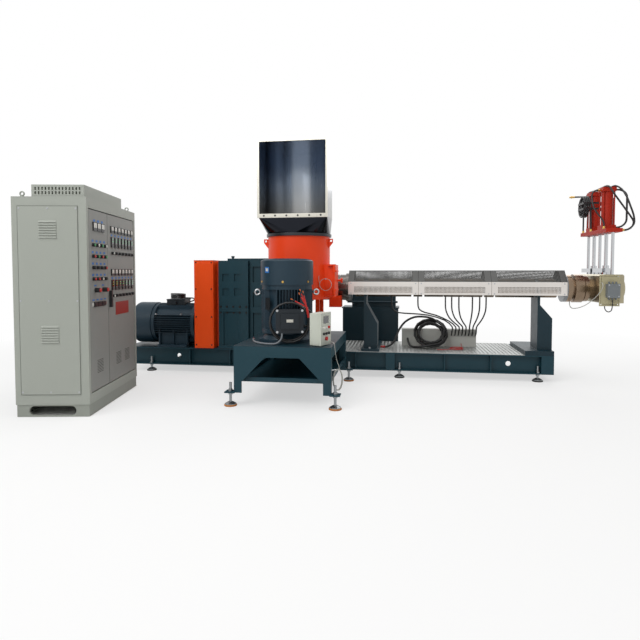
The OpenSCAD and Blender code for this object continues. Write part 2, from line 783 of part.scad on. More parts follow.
module barrel_supports() {
  color(deep_teal) in_frame() {
    support_post(left_post_x, floor_z, left_post_x - 25, left_post_x + post_w + 25, 30, 600);
    support_post(right_post_x, base_top, bearer_x, base_len, bearer_t, 684);
  }
}

// Compactor stand

// Holes for the levelling screws in the stand's foot brackets
module bracket_holes() {
  for (p = stand_feet) bar_z(bracket_z - 1, bracket_z + stand_t + 1, screw_d / 2 + 1, p[0], p[1]);
}

module stand_front() {
  x1 = stand_x0 + stand_w;
  beam_z = stand_h - deck_t;
  rail_z = bracket_z + 92;
  color(teal) in_frame() difference() {
    union() {
      along_y(stand_y0, stand_y0 + stand_t) difference() {
        translate([stand_x0, bracket_z]) square([stand_w, beam_z - bracket_z]);
        polygon([[stand_x0 + leg_w, bracket_z - 1], [x1 - leg_w, bracket_z - 1],
          [x1 - leg_w, bracket_z + 100], [stand_cx + 155, beam_z - stand_beam],
          [stand_cx - 155, beam_z - stand_beam], [stand_x0 + leg_w, bracket_z + 100]]);
      }
      for (s = [0, 1]) {
        x = s == 0 ? stand_x0 : x1 - stand_t;
        reach = stand_cx + (s == 0 ? -1 : 1) * (stand_foot_x + 45);
        box([x, stand_y0, bracket_z], [x + stand_t, stand_y0 + leg_w, beam_z]);
        box([min(reach, x), stand_y0 - 30, bracket_z],
            [max(reach, x + stand_t), stand_y0 + leg_w, bracket_z + stand_t]);
      }
      box([stand_x0, stand_y0 + leg_w - stand_t, rail_z], [x1, stand_y0 + leg_w, rail_z + 40]);
    }
    bracket_holes();
  }
}

module stand_sides() {
  beam_z = stand_h - deck_t;
  color(teal) in_frame() for (s = [0, 1]) difference() {
    x = s == 0 ? stand_x0 : stand_x0 + stand_w - stand_t;
    inner = s == 0 ? x : x - leg_w + stand_t;
    reach = stand_cx + (s == 0 ? -1 : 1) * (stand_foot_x + 45);
    union() {
      box([x, stand_y0 + leg_w, beam_z - stand_beam], [x + stand_t, stand_y1, beam_z]);
      box([inner, stand_y1 - leg_w, bracket_z], [inner + leg_w, stand_y1, beam_z]);
      box([min(reach, x), stand_y1 - leg_w, bracket_z],
          [max(reach, x + stand_t), stand_y1, bracket_z + stand_t]);
    }
    bracket_holes();
  }
}

module stand_deck() {
  color(deep_teal) in_frame()
    box([stand_x0, stand_y0, stand_h - deck_t], [stand_x0 + stand_w, stand_y1, stand_h]);
}

module stand_belt_box() {
  half = 190;
  drop = 120;
  z1 = stand_h - deck_t;
  color(deep_teal) in_frame() {
    box([tank_x - half, comp_y, z1 - drop], [tank_x + half, tank_y, z1]);
    bar_z(z1 - drop, z1, half, tank_x, comp_y);
    difference() {
      bar_z(z1 - drop, z1, half, tank_x, tank_y);
      box([tank_x - half, stand_y1 - 3, z1 - drop - 1], [tank_x + half, tank_y + half + 1, z1 + 1]);
    }
  }
}

// Compactor

module compactor_bearing() {
  r = 130;
  color(deep_teal) in_frame() difference() {
    union() {
      bar_z(stand_h, tank_z0, r, tank_x, tank_y);
      bar_z(stand_h, stand_h + 24, r + 30, tank_x, tank_y);
      bar_z(tank_z0 - 24, tank_z0, r + 25, tank_x, tank_y);
    }
    bar_z(tank_z0 - 60, tank_z0 + 1, rotor_shaft_r + fit_gap, tank_x, tank_y);
  }
}

tank_floor = 20;

// Way through the tank's wall and collar for the side door
module door_way() {
  half = door_w / 2 - collar_t;
  box([tank_x, tank_y - half, door_z0 + collar_t],
      [collar_x + 1, tank_y + half, door_z0 + door_h - collar_t]);
}

// Door collar, hinge lugs and pin on the tank's right side
module tank_collar() {
  half = door_w / 2;
  color(orange) in_frame() {
    difference() {
      box([tank_x + tank_r - 60, tank_y - half, door_z0], [collar_x, tank_y + half, door_z0 + door_h]);
      bar_z(door_z0 - 1, door_z0 + door_h + 1, tank_r + fit_gap, tank_x, tank_y);
      door_way();
    }
    for (z = [door_z0, door_z0 + door_h - collar_t]) {
      box([collar_x - 60, hinge_y, z], [collar_x, tank_y - half + 1, z + collar_t]);
      bar_z(z, z + collar_t, 18, hinge_x, hinge_y);
    }
    bar_z(door_z0, door_z0 + door_h, hinge_r, hinge_x, hinge_y);
  }
}

module compactor_tank() {
  leg_x = 225;
  color(orange) in_frame() difference() {
    union() {
      difference() {
        bar_z(tank_z0, tank_z1, tank_r, tank_x, tank_y);
        bar_z(tank_z0 + tank_floor, tank_z1 + 1, tank_r - tank_t, tank_x, tank_y);
      }
      for (s = [-1, 1], y = [tank_y - 165, tank_y + 125])
        box([tank_x + s * leg_x - tank_leg / 2, y - tank_leg / 2, stand_h],
            [tank_x + s * leg_x + tank_leg / 2, y + tank_leg / 2, tank_z0 + 5]);
      for (s = [-1, 1]) along_y(tank_y - 60, tank_y - 44)
        polygon([[tank_x + s * (tank_r - 4), tank_z1 - 120], [tank_x + s * (tank_r + 42), tank_z1 - 60],
          [tank_x + s * (tank_r + 42), tank_z1 - 20], [tank_x + s * (tank_r - 4), tank_z1 - 20]]);
    }
    bar_z(tank_z0 - 1, tank_z0 + tank_floor + 1, rotor_shaft_r + 2, tank_x, tank_y);
    door_way();
    box([tank_x - throat_half + throat_wall, tank_y, throat_z0 + throat_wall],
        [tank_x + throat_half - throat_wall, tank_y + tank_r + 1, throat_z1 - throat_wall]);
    for (s = [-1, 1]) bar_y(tank_y - 61, tank_y - 43, 11, tank_x + s * (tank_r + 22), tank_z1 - 42);
  }
}

module tank_rim() {
  color("#4b4f52") in_frame() difference() {
    bar_z(tank_z1, tank_z1 + 30, tank_r + 16, tank_x, tank_y);
    bar_z(tank_z1 - 1, tank_z1 + 31, tank_r - tank_t - 8, tank_x, tank_y);
  }
}

module tank_door() {
  half = door_w / 2;
  knuckle_r = 17;
  knuckle_h = 60;
  x0 = collar_x + fit_gap;
  color(orange) in_frame() {
    difference() {
      union() {
        box([x0, tank_y - half, door_z0 + 4], [x0 + door_t, tank_y + half, door_z0 + door_h - 4]);
        for (z = [door_z0 + collar_t + 6, door_z0 + door_h - collar_t - 6 - knuckle_h]) {
          bar_z(z, z + knuckle_h, knuckle_r, hinge_x, hinge_y);
          box([x0, hinge_y, z], [x0 + door_t, tank_y - half + 1, z + knuckle_h]);
        }
      }
      bar_z(door_z0, door_z0 + door_h, hinge_r + fit_gap, hinge_x, hinge_y);
    }
    box([x0 + door_t, tank_y - half + 50, door_z0 + 60],
        [x0 + door_t + 10, tank_y + half - 50, door_z0 + 80]);
    box([x0 + door_t, tank_y - half + 50, door_z0 + door_h - 80],
        [x0 + door_t + 10, tank_y + half - 50, door_z0 + door_h - 60]);
    bar_x(x0 + door_t, x0 + door_t + 34, 11, tank_y + half - 34, door_z0 + door_h / 2);
    bar_x(x0 + door_t + 34, x0 + door_t + 52, 26, tank_y + half - 34, door_z0 + door_h / 2);
  }
}

module compactor_rotor() {
  disc_z = tank_z0 + tank_floor + 22;
  disc_t = 25;
  knives = 6;
  color(red) in_frame() translate([tank_x, tank_y, 0]) {
    bar_z(tank_z0 - 58, disc_z + 1, rotor_shaft_r, 0, 0);
    bar_z(disc_z, disc_z + disc_t, rotor_r, 0, 0);
    translate([0, 0, disc_z + disc_t]) cylinder(r1 = 110, r2 = 55, h = 90);
    for (i = [0:knives - 1]) rotate(i * 360 / knives)
      along_y(-14, 14) polygon([[120, disc_z + disc_t - 1], [rotor_r - 12, disc_z + disc_t - 1],
        [rotor_r - 12, disc_z + disc_t + 48], [rotor_r - 60, disc_z + disc_t + 30]]);
  }
}

// Intake hood

module hood_plan(t) {
  half = hood_w / 2 - t;
  circle(r = half);
  translate([-half, -hood_reach]) square([2 * half, hood_reach]);
}

module intake_hood() {
  color(stainless) in_frame() translate([tank_x, tank_y, 0]) difference() {
    translate([0, 0, hood_z0]) linear_extrude(hood_z1 - hood_z0) hood_plan(0);
    translate([0, 0, hood_z0 - 1]) linear_extrude(hood_z1 - hood_z0 + 1 - hood_t) union() {
      hood_plan(hood_t);
      translate([-hood_w / 2 + hood_t, -hood_reach - 1]) square([hood_w - 2 * hood_t, 10]);
    }
  }
}

// Sheet transition from the round rim to the hood's plan
module hood_skirt() {
  z0 = tank_z1 + 30;
  rim_r = tank_r + 6;
  sheet = 0.5;
  color("#8a867f") in_frame() translate([tank_x, tank_y, 0]) difference() {
    hull() {
      translate([0, 0, z0]) cylinder(r = rim_r, h = sheet, $fn = 48);
      translate([0, 0, hood_z0 - sheet]) linear_extrude(sheet) hood_plan(0, $fn = 48);
    }
    hull() {
      translate([0, 0, z0 - sheet]) cylinder(r = rim_r - hood_t, h = sheet, $fn = 48);
      translate([0, 0, hood_z0]) linear_extrude(sheet) hood_plan(hood_t, $fn = 48);
    }
  }
}

module hood_frame() {
  bar_t = 18;
  lip = 40;
  y1 = tank_y - hood_reach;
  half = hood_w / 2 + 6;
  color(stainless) in_frame() {
    along_y(y1 - bar_t, y1) difference() {
      translate([tank_x - half, hood_z0 - 14]) square([2 * half, hood_z1 - hood_z0 + 22]);
      translate([tank_x - half + hood_bar, hood_z0 - 14 + lip])
          square([2 * (half - hood_bar), hood_z1 - hood_z0 + 22 - lip - hood_bar]);
    }
  }
}

module control_box() {
  box_w = 110;
  box_depth = 200;
  box_h = 290;
  color("#d8d6cf") in_frame() translate([stand_x0 + stand_w - 62, stand_y0 + 130, stand_h])
      rotate([0, 0, -18])
    translate([-box_w, -box_depth / 2, 0]) {
      box([0, 0, 8], [box_w - 18, box_depth, box_h]);
      box([box_w - 18, -3, 5], [box_w, box_depth + 3, box_h + 3]);
      for (y = [20, box_depth - 40]) box([10, y, 0], [box_w - 40, y + 20, 8]);
    }
}

// Screen changer

module changer_flange() {
  x = barrel_x1;
  r = feed_r + 5;
  color("#6b5a4a") in_frame() translate([x, axis_y, axis_z]) rotate([0, 90, 0]) rotate_extrude()
    polygon([[0, 0], [r - 5, 0], [r - 5, 45], [r - 40, 45], [r - 40, 75], [r, 75], [r, 165], [r - 30, 165],
      [r - 30, 178], [r - 12, 178], [r - 12, 218], [r - 45, 218], [r - 45, block_x0 - x],
          [0, block_x0 - x]]);
}

module changer_block() {
  x1 = block_x0 + block_w;
  out_x = x1 + outlet_len;
  hub_r = outlet_r + 40;
  plate_r = outlet_r + 78;
  bolt_pcd = outlet_r + 58;
  chamfer = 14;
  color("#55524c") in_frame() difference() {
    union() {
      along_y(axis_y - block_half, axis_y + block_half) polygon([[block_x0, block_z0], [x1, block_z0],
        [x1, block_z1 - chamfer], [x1 - chamfer, block_z1], [block_x0 + chamfer, block_z1],
            [block_x0, block_z1 - chamfer]]);
      bar_x(x1 - 1, out_x - 20, hub_r, axis_y, axis_z);
      bar_x(out_x - 40, out_x, plate_r, axis_y, axis_z);
    }
    for (y = piston_ys) bar_z(block_z0 - 1, block_z1 + 1, piston_r + fit_gap, block_cx, y);
    bar_x(out_x - 90, out_x + 1, outlet_r, axis_y, axis_z);
    for (i = [0:7]) translate([0, axis_y, axis_z]) rotate([i * 45 + 22.5, 0, 0])
      bar_x(out_x - 30, out_x + 1, 8, 0, bolt_pcd);
  }
}

module changer_columns() {
  color(steel) in_frame() for (y = column_ys) {
    bar_z(block_z1, head_z, column_r, block_cx, y);
  }
}

module cylinder_plate() {
  color(red) in_frame() difference() {
    box([block_cx - 80, axis_y - column_pitch - 35, head_z],
        [block_cx + 80, axis_y + column_pitch + 35, head_z + head_t]);
    for (y = piston_ys) bar_z(head_z - 1, head_z + head_t + 1, rod_r + fit_gap, block_cx, y);
  }
}

module cylinders() {
  cap = 44;
  half = 68;
  tie = half - 15;
  z0 = head_z + head_t;
  z1 = z0 + cyl_len;
  color(red) in_frame() for (y = piston_ys) translate([block_cx, y, 0]) difference() {
    union() {
      bar_z(z0, z1, cyl_r, 0, 0);
      for (z = [z0, z1 - cap]) box([-half, -half, z], [half, half, z + cap]);
      for (a = [-1, 1], b = [-1, 1]) bar_z(z0 + 1, z1 - 1, 7, a * tie, b * tie);
      for (z = [z0 + cap / 2, z1 - cap / 2]) bar_x(half - 1, half + 14, 14, 0, z);
    }
    bar_z(z0 - 1, z0 + cap + 1, rod_r + fit_gap, 0, 0);
    bar_z(z0 + cap, z1 - cap, cyl_r - 9, 0, 0);
  }
}

// Screen piston, crosshead guided on one column, and cylinder rod
module piston_set(y) {
  cross_w = 110;
  end = 60;
  z1 = cross_z + cross_h;
  column_y = y + column_pitch / 2;
  color(steel) in_frame() difference() {
    union() {
      bar_z(block_z0 - 10, cross_z, piston_r, block_cx, y);
      box([block_cx - cross_w / 2, y - end, cross_z], [block_cx + cross_w / 2, column_y + 55, z1]);
      bar_z(z1, head_z + head_t + 70, rod_r, block_cx, y);
      bar_z(z1, z1 + 30, rod_r + 14, block_cx, y);
    }
    bar_z(cross_z - 1, z1 + 1, column_r + fit_gap, block_cx, column_y);
    bar_x(block_cx - piston_r - 1, block_cx + piston_r + 1, outlet_r, y, axis_z - 40);
  }
}

module piston_near() { piston_set(piston_ys[0]); }

module piston_far() { piston_set(piston_ys[1]); }

plate_y = axis_y - block_half;

module heater_plate() {
  t = 14;
  color("#cdc8a4") in_frame() difference() {
    box([block_x0 - 38, plate_y - t, block_z0 - 30], [block_x0 + 156, plate_y, block_z1 - 3]);
    for (x = [block_x0 - 20, block_x0 + 138], z = [block_z0 - 12, block_z1 - 21])
      bar_y(plate_y - t - 1, plate_y + 1, 6, x, z);
  }
}

module junction_box() {
  y1 = plate_y - 14;
  z0 = block_z0 + 62;
  color("#7d8286") in_frame() {
    box([block_x0 + 18, y1 - 58, z0], [block_x0 + 130, y1, z0 + 136]);
    box([block_x0 + 14, y1 - 70, z0 - 4], [block_x0 + 134, y1 - 58, z0 + 140]);
    for (x = [40, 74, 108]) {
      bar_z(z0 - 24, z0, 9, block_x0 + x, y1 - 30);
      bar_z(z0 + 136, z0 + 160, 9, block_x0 + x, y1 - 30);
    }
  }
}

// Hydraulic unit and wiring duct

module hydraulic_unit() {
  foot_h = 60;
  tank_h = 716;
  block_h = 900;
  rail_z = 800;
  x1 = unit_x0 + unit_w;
  y1 = unit_y0 + unit_depth;
  color(deep_teal) in_frame() {
    difference() {
      box([unit_x0, unit_y0, foot_h], [x1, y1, tank_h]);
      box([unit_x0 + 40, y1 - 6, foot_h + 60], [x1 - 40, y1 + 1, tank_h - 60]);
    }
    box([unit_x0 - 12, unit_y0, tank_h], [x1 + 12, y1, tank_h + 14]);
    box([unit_x0 + 120, unit_y0 + 40, tank_h + 14], [x1 - 35, y1 - 40, block_h]);
    bar_x(unit_x0 + 60, x1 - 10, 13, unit_y0 + 20, rail_z);
    for (x = [unit_x0 + 140, x1 - 70])
        box([x, unit_y0 + 10, tank_h + 14], [x + 20, unit_y0 + 30, rail_z + 20]);
    for (x = [unit_x0 + 45, x1 - 45], y = [unit_y0 + 45, y1 - 45]) {
      bar_z(0, 12, 34, x, y);
      bar_z(0, foot_h + 1, 18, x, y);
    }
  }
}

// Free deck between the posts' plates. Places along it are typed for a span of 1573 from 3077.
post_end = left_post_x + post_w + 25;
deck_scale = (bearer_x - post_end) / 1573;
function along_deck(x) = post_end + (x - 3077) * deck_scale;
function deck_route(p) = [for (q = p) [along_deck(q[0]), q[1], q[2]]];

duct_x0 = along_deck(3330);
duct_len = 880 * deck_scale;
duct_y0 = 550;
duct_depth = 100;
duct_h = 210;

module wiring_duct() {
  color("#a9aba6") in_frame() {
    box([duct_x0, duct_y0, floor_z], [duct_x0 + duct_len, duct_y0 + duct_depth, floor_z + duct_h - 18]);
    box([duct_x0 - 3, duct_y0 - 3, floor_z + duct_h - 18],
        [duct_x0 + duct_len + 3, duct_y0 + duct_depth + 3, floor_z + duct_h]);
  }
}

// Control cabinet, drawn with u from its back to its doors along X and v along Y

module cabinet_plinth() {
  slot_h = 76;
  slot_u = [105, 486];
  z = plinth_h / 2;
  color("#8f958f") in_cabinet() difference() {
    box([6, 6, 0], [cab_depth - 6, cab_w - 6, plinth_h]);
    box([6 + cab_t, 6 + cab_t, -1], [cab_depth - 6 - cab_t, cab_w - 6 - cab_t, plinth_h + 1]);
    box([slot_u[0] + slot_h / 2, -1, z - slot_h / 2], [slot_u[1] - slot_h / 2, 7 + cab_t, z + slot_h / 2]);
    for (u = [slot_u[0] + slot_h / 2, slot_u[1] - slot_h / 2]) bar_y(-1, 7 + cab_t, slot_h / 2, u, z);
  }
}

// One louvre of pressed slats on a side panel
module louvre(u, z, v, out) {
  for (i = [0:6]) along_x(u, u + 143)
    polygon([[v, z + i * 21], [v + out * 9, z + i * 21], [v, z + i * 21 + 15]]);
}

module cabinet_shell() {
  panel = [48, cab_depth - 68];
  color(cabinet_grey) in_cabinet() {
    difference() {
      box([0, 0, plinth_h], [cab_depth - cab_t, cab_w, cab_h]);
      box([cab_t, cab_t, plinth_h + cab_t], [cab_depth, cab_w - cab_t, cab_h - cab_t]);
    }
    for (v = [[-5, 0, -1], [cab_w, cab_w + 5, 1]]) {
      box([panel[0], v[0], plinth_h + 84], [panel[1], v[1], cab_h - 75]);
      face = v[2] < 0 ? v[0] : v[1];
      louvre(218, cab_h - 334, face, v[2]);
      louvre(222, 612, face, v[2]);
    }
    for (p = [[60, 60], [60, cab_w - 60], [cab_depth - 60, cab_w - 60]]) {
      bar_z(cab_h, cab_h + 10, 16, p[0], p[1]);
      translate([p[0], p[1], cab_h + 30]) rotate([90, 0, 0]) rotate_extrude() translate([16, 0])
          circle(r = 6);
    }
  }
}

// Hinge axes of the doors: middle of the panel, half its thickness in from the edge
pivot_u = cab_depth - panel_t / 2 - 2;
narrow_pivot = door_edge + panel_t / 2;
wide_pivot = cab_w - door_edge - panel_t / 2;

module cabinet_front_frame() {
  u0 = cab_depth - cab_t;
  pin = 22;
  color(cabinet_grey) in_cabinet() {
    difference() {
      box([u0, 0, plinth_h], [cab_depth, cab_w, cab_h]);
      box([u0 - 1, door_edge - door_gap, door_bottom - door_gap],
          [cab_depth + 1, cab_w - door_edge + door_gap, door_top + door_gap]);
    }
    for (v = [narrow_pivot, wide_pivot]) {
      bar_z(door_bottom - door_gap - 1, door_bottom - fit_gap, pivot_r + 3, pivot_u, v);
      bar_z(door_bottom - door_gap - 1, door_bottom + pin, pivot_r, pivot_u, v);
      bar_z(door_top - pin, door_top + door_gap + 1, pivot_r, pivot_u, v);
    }
  }
}

// A door panel whose hinge edge is rounded about its axis
module door_panel(v0, v1, pivot) {
  lo = min(v0, v1);
  hi = max(v0, v1);
  u0 = pivot_u - panel_t / 2;
  difference() {
    union() {
      box([u0, pivot == narrow_pivot ? pivot : lo, door_bottom],
          [u0 + panel_t, pivot == narrow_pivot ? hi : pivot, door_top]);
      bar_z(door_bottom, door_top, panel_t / 2, pivot_u, pivot);
    }
    for (z = [door_bottom - 1, door_top - 24]) bar_z(z, z + 25, pivot_r + fit_gap, pivot_u, pivot);
  }
}

door_face = pivot_u + panel_t / 2;

module cabinet_door_narrow() {
  color("#a3aaa4") in_cabinet() door_panel(door_edge, door_edge + narrow_w, narrow_pivot);
}

module cabinet_door_wide() {
  color("#a3aaa4") in_cabinet() door_panel(wide_v0, wide_v0 + wide_w, wide_pivot);
}

module cabinet_roof_vent() {
  slots = 14;
  u0 = 157;
  u1 = cab_depth - 20;
  v1 = 870;
  pitch = (u1 - u0 - 40) / slots;
  color(cabinet_grey) in_cabinet() difference() {
    box([u0, 15, cab_h], [u1, v1, cab_h + 98]);
    for (v = [14, v1 - 20], z = [cab_h + 20, cab_h + 54], i = [0:slots - 1])
      box([u0 + 26 + i * pitch, v, z], [u0 + 26 + i * pitch + 12, v + 21, z + 24]);
  }
}

// Square meter or controller standing on a door's face
module bezel(v, z, w, h,
    out) { box([door_face, v - w / 2, z - h / 2], [door_face + out, v + w / 2, z + h / 2]); }

module knob(v, z, r, out) { bar_x(door_face, door_face + out, r, v, z); }

module instruments_narrow() {
  v0 = door_edge + 75;
  pitch = (narrow_w - 150) / 3;
  color(black) in_cabinet() {
    for (i = [0:2]) bezel(v0 + pitch / 2 + i * pitch, door_top - 135, 72, 72, 10);
    for (i = [0:3], j = [0:3]) knob(v0 + i * pitch, door_top - 290 - j * 95, 15, 22);
    for (i = [0, 1]) knob(v0 + pitch / 2 + i * 2 * pitch, door_top - 670, 20, 42);
    for (i = [0:2]) bezel(v0 + pitch / 2 + i * pitch, door_top - 790, 72, 40, 10);
  }
}

module instruments_wide() {
  count = 7;
  v0 = wide_v0 + 100;
  pitch = (wide_w - 175) / (count - 1);
  color(black) in_cabinet() {
    for (g = [0, 1], i = [0:count - 1]) {
      bezel(v0 + i * pitch, door_top - 130 - g * 390, 60, 60, 10);
      bezel(v0 + i * pitch, door_top - 245 - g * 390, 48, 96, 10);
      knob(v0 + i * pitch, door_top - 345 - g * 390, 14, 22);
    }
    bezel(wide_v0 + 30, (door_top + door_bottom) / 2, 28, 150, 26);
  }
}

// Cords: heater leads, deck coil, motor cable and changer hoses

// Leads from a heater band's underside to the front of the wiring duct. The two long ones
// pass over the deck coil.
lead_r = 8;
lead_z = axis_z - heater_r - 1;
lead_end = duct_y0 - 0.5;
lead_routes = [
  [[3210, 230, lead_z], [3210, 232, 800], [3330, 320, 715], [3640, 420, 700], [3900, 470, 560],
      [3920, 500, 430], [3920, lead_end, 430]],
  [[3510, 230, lead_z], [3510, 232, 800], [3640, 340, 740], [3930, 450, 600], [3960, 500, 430],
      [3960, lead_end, 430]],
  [[3820, 230, lead_z], [3820, 232, 780], [3930, 410, 590], [4000, 500, 430], [4000, lead_end, 430]],
  [[3890, 230, lead_z], [3890, 232, 780], [3980, 410, 570], [4040, 500, 430], [4040, lead_end, 430]],
  [[3970, 230, lead_z], [3970, 232, 780], [4030, 410, 560], [4080, 500, 430], [4080, lead_end, 430]],
  [[4120, 230, lead_z], [4120, 232, 780], [4120, 410, 560], [4120, 500, 430], [4120, lead_end, 430]],
  [[4200, 230, lead_z], [4200, 232, 780], [4170, 410, 570], [4160, 500, 430], [4160, lead_end, 430]],
  [[4270, 230, lead_z], [4270, 232, 780], [4220, 410, 590], [4200, 500, 430], [4200, lead_end, 430]]];

module heater_leads() { color(black) in_frame() for (p = lead_routes) tube(deck_route(p), lead_r, 1, 8); }

coil_ring = 165;
coil_tube = 45;
coil_lean = 50;
coil_x = along_deck(3670);
coil_y = duct_y0 - 96;

module deck_coil() {
  z = floor_z + coil_ring * sin(coil_lean) + coil_tube + 0.5;
  color(black) in_frame() translate([coil_x, coil_y, z]) rotate([coil_lean, 0, 0])
    rotate_extrude() translate([coil_ring, 0]) circle(r = coil_tube);
}

// The coil's free end: it lies on the coil's top and falls to the deck
arch_r = 13;
arch_route = [[3700, 524, 634], [3600, 515, 650], [3480, 480, 650], [3370, 440, 600],
  [3290, 400, 500], [3255, 380, 390], [3250, 375, 291]];

module deck_cable_arch() { color(black) in_frame() tube(deck_route(arch_route), arch_r, 1, 10); }

ring_r = 176;
ring_tube = 17;

module motor_cable_ring() {
  inner = ring_r - ring_tube - 0.5;
  z = term_z0 + term_h - sqrt(inner * inner - term_w * term_w / 4);
  color(black) compactor_motor_place() translate([0, -seat_r - 75, z]) rotate([90, 0, 0])
    rotate_extrude() translate([ring_r, 0]) circle(r = ring_tube);
}

// Hoses between the ports at a cylinder's two ends, counted from the lower port
hose_r = 10;
port_x = block_cx + 82.6;
port_z = head_z + head_t + 22;
port_rise = cyl_len - 44;
hose_route = [[0, 0, port_rise], [60, -2, port_rise - 12], [105, -20, port_rise - 110],
  [105, -20, 110], [60, -2, 12], [0, 0, 0]];

module changer_hoses() {
  color(black) in_frame() for (y = piston_ys) translate([port_x, y, port_z]) tube(hose_route, hose_r, 2, 8);
}

base_beams();
base_cross_members();
drive_plate();
deck_plate();
levelling_screws();
levelling_pads();
main_motor_frame();
main_motor_cowl();
main_motor_terminal_box();
belt_guard();
gearbox_lower();
gearbox_upper();
thrust_housing();
feed_housing();
feed_throat();
barrel();
heater_bands();
barrel_guard();
barrel_supports();
stand_front();
stand_sides();
stand_deck();
stand_belt_box();
compactor_motor_frame();
compactor_motor_cowl();
compactor_motor_terminal_box();
compactor_bearing();
compactor_tank();
tank_collar();
tank_rim();
tank_door();
compactor_rotor();
intake_hood();
hood_skirt();
hood_frame();
control_box();
changer_flange();
changer_block();
changer_columns();
cylinder_plate();
cylinders();
piston_near();
piston_far();
heater_plate();
junction_box();
hydraulic_unit();
wiring_duct();
cabinet_plinth();
cabinet_shell();
cabinet_front_frame();
cabinet_roof_vent();
cabinet_door_narrow();
cabinet_door_wide();
instruments_narrow();
instruments_wide();
heater_leads();
deck_coil();
deck_cable_arch();
motor_cable_ring();
changer_hoses();
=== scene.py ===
# %% [markdown]
# # A plastic recycling extruder
# Film goes in at the bright hood, is cut in the orange tank, and is pressed by a screw
# through a heated barrel to the screen changer at the right. The CAD model gives every
# solid its place and size. This lesson dresses it: finishes first, then the small things
# that a drawing leaves out, such as perforations, bolts, meters and cables.

import json
import math
from itertools import product

import bmesh
import bpy
from mathutils import Matrix, Vector


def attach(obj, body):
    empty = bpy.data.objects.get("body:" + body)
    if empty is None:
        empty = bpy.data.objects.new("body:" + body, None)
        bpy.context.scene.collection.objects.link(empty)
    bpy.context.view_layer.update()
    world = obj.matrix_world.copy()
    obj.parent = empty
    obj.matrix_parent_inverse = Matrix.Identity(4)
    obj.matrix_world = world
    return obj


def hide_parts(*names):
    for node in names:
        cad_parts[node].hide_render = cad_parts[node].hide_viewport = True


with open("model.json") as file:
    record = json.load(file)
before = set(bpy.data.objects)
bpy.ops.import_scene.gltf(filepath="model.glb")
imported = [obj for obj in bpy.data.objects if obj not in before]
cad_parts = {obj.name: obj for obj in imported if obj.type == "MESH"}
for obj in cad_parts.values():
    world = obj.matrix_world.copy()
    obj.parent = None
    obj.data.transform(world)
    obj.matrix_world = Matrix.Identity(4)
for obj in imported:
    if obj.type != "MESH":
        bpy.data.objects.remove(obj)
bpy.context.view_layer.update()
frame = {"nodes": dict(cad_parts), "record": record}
nodes = frame["nodes"]
scene = bpy.context.scene
MM = 0.001
MIDDLE = Vector((2838.869, -380.094, 0))
# Takes millimetres from the base's left front corner to metres in the shared frame.
MACHINE = Matrix.Scale(MM, 4) @ Matrix.Translation(-MIDDLE)


def turned(x, y, z, degrees):
    """A frame in millimetres at a place of the machine, turned about the upright axis."""
    return MACHINE @ Matrix.Translation((x, y, z)) @ Matrix.Rotation(math.radians(degrees), 4, "Z")


# %% [markdown]
# ## Camera
# The photograph was taken from about four and a half metres in front of the stand, at
# chest height, and a little to the right. Its focal length came from the cabinet's edges,
# so the lens, the place and the tilt are written down as found.

# %% Camera
camera = bpy.data.objects.new("camera", bpy.data.cameras.new("camera"))
scene.collection.objects.link(camera)
camera.location = MACHINE @ Vector((3300, -5950, 1190))
camera.rotation_euler = (math.radians(87.5), 0, math.radians(8.6))
camera.data.sensor_width = 36
camera.data.lens = 29.64
camera.data.shift_y = -0.039
scene.camera = camera
print("camera at", [round(c, 3) for c in camera.location])

# %% [markdown]
# ## Finishes
# Every finish is a Principled shader. Plain numbers are set on its own sockets. What
# changes over a surface, such as dust or brush marks, is written as arithmetic on
# sockets: the class below wraps a socket, and each operator adds a Math node.


# %% Arithmetic on sockets
class Wire:
    """An output of a material's node tree that Python's operators work on."""

    def __init__(self, tree, output=None):
        self.tree = tree
        self.output = output

    def node(self, kind, settings=(), sockets=(), out=0):
        """Adds a node: first its settings, then the values or links of its sockets."""
        made = self.tree.nodes.new(kind)
        for key, value in dict(settings).items():
            if key == "stops":
                ramp = made.color_ramp.elements
                for element, (place, tone) in zip((ramp[0], ramp[1]), value):
                    element.position = place
                    element.color = (tone, tone, tone, 1)
            else:
                setattr(made, key, value)
        for key, value in dict(sockets).items():
            if isinstance(value, Wire):
                self.tree.links.new(value.output, made.inputs[key])
            else:
                made.inputs[key].default_value = value
        return Wire(self.tree, made.outputs[out])

    def math(self, operation, a, b):
        return self.node("ShaderNodeMath", {"operation": operation}, {0: a, 1: b})

    def __add__(self, other):
        return self.math("ADD", self, other)

    def __radd__(self, other):
        return self.math("ADD", other, self)

    def __sub__(self, other):
        return self.math("SUBTRACT", self, other)

    def __rsub__(self, other):
        return self.math("SUBTRACT", other, self)

    def __mul__(self, other):
        return self.math("MULTIPLY", self, other)

    def __lt__(self, other):
        return self.math("LESS_THAN", self, other)


def linear(rgb):
    """A colour read off a screen, 0 to 255, as the linear values that shaders use."""
    return tuple((c / 255 / 12.92) if c <= 10 else ((c / 255 + 0.055) / 1.055) ** 2.4 for c in rgb)


def finish(name, rgb, roughness, metallic=0.0, coat=0.0):
    """A material with plain values. Returns it with its shader and a wire to build on."""
    made = bpy.data.materials.new(name)
    made.use_nodes = True
    shader = made.node_tree.nodes["Principled BSDF"]
    for socket, value in (("Base Color", (*linear(rgb), 1)), ("Roughness", roughness),
            ("Metallic", metallic), ("Coat Weight", coat)):
        shader.inputs[socket].default_value = value
    return made, shader, Wire(made.node_tree)


def feed(shader, socket, wire):
    wire.tree.links.new(wire.output, shader.inputs[socket])


# %% [markdown]
# Paint on plate is never one flat tone: it has a fine orange-peel skin, soft patches where
# dust lies, and a slightly worn sheen. Three noises on Object coordinates give these.


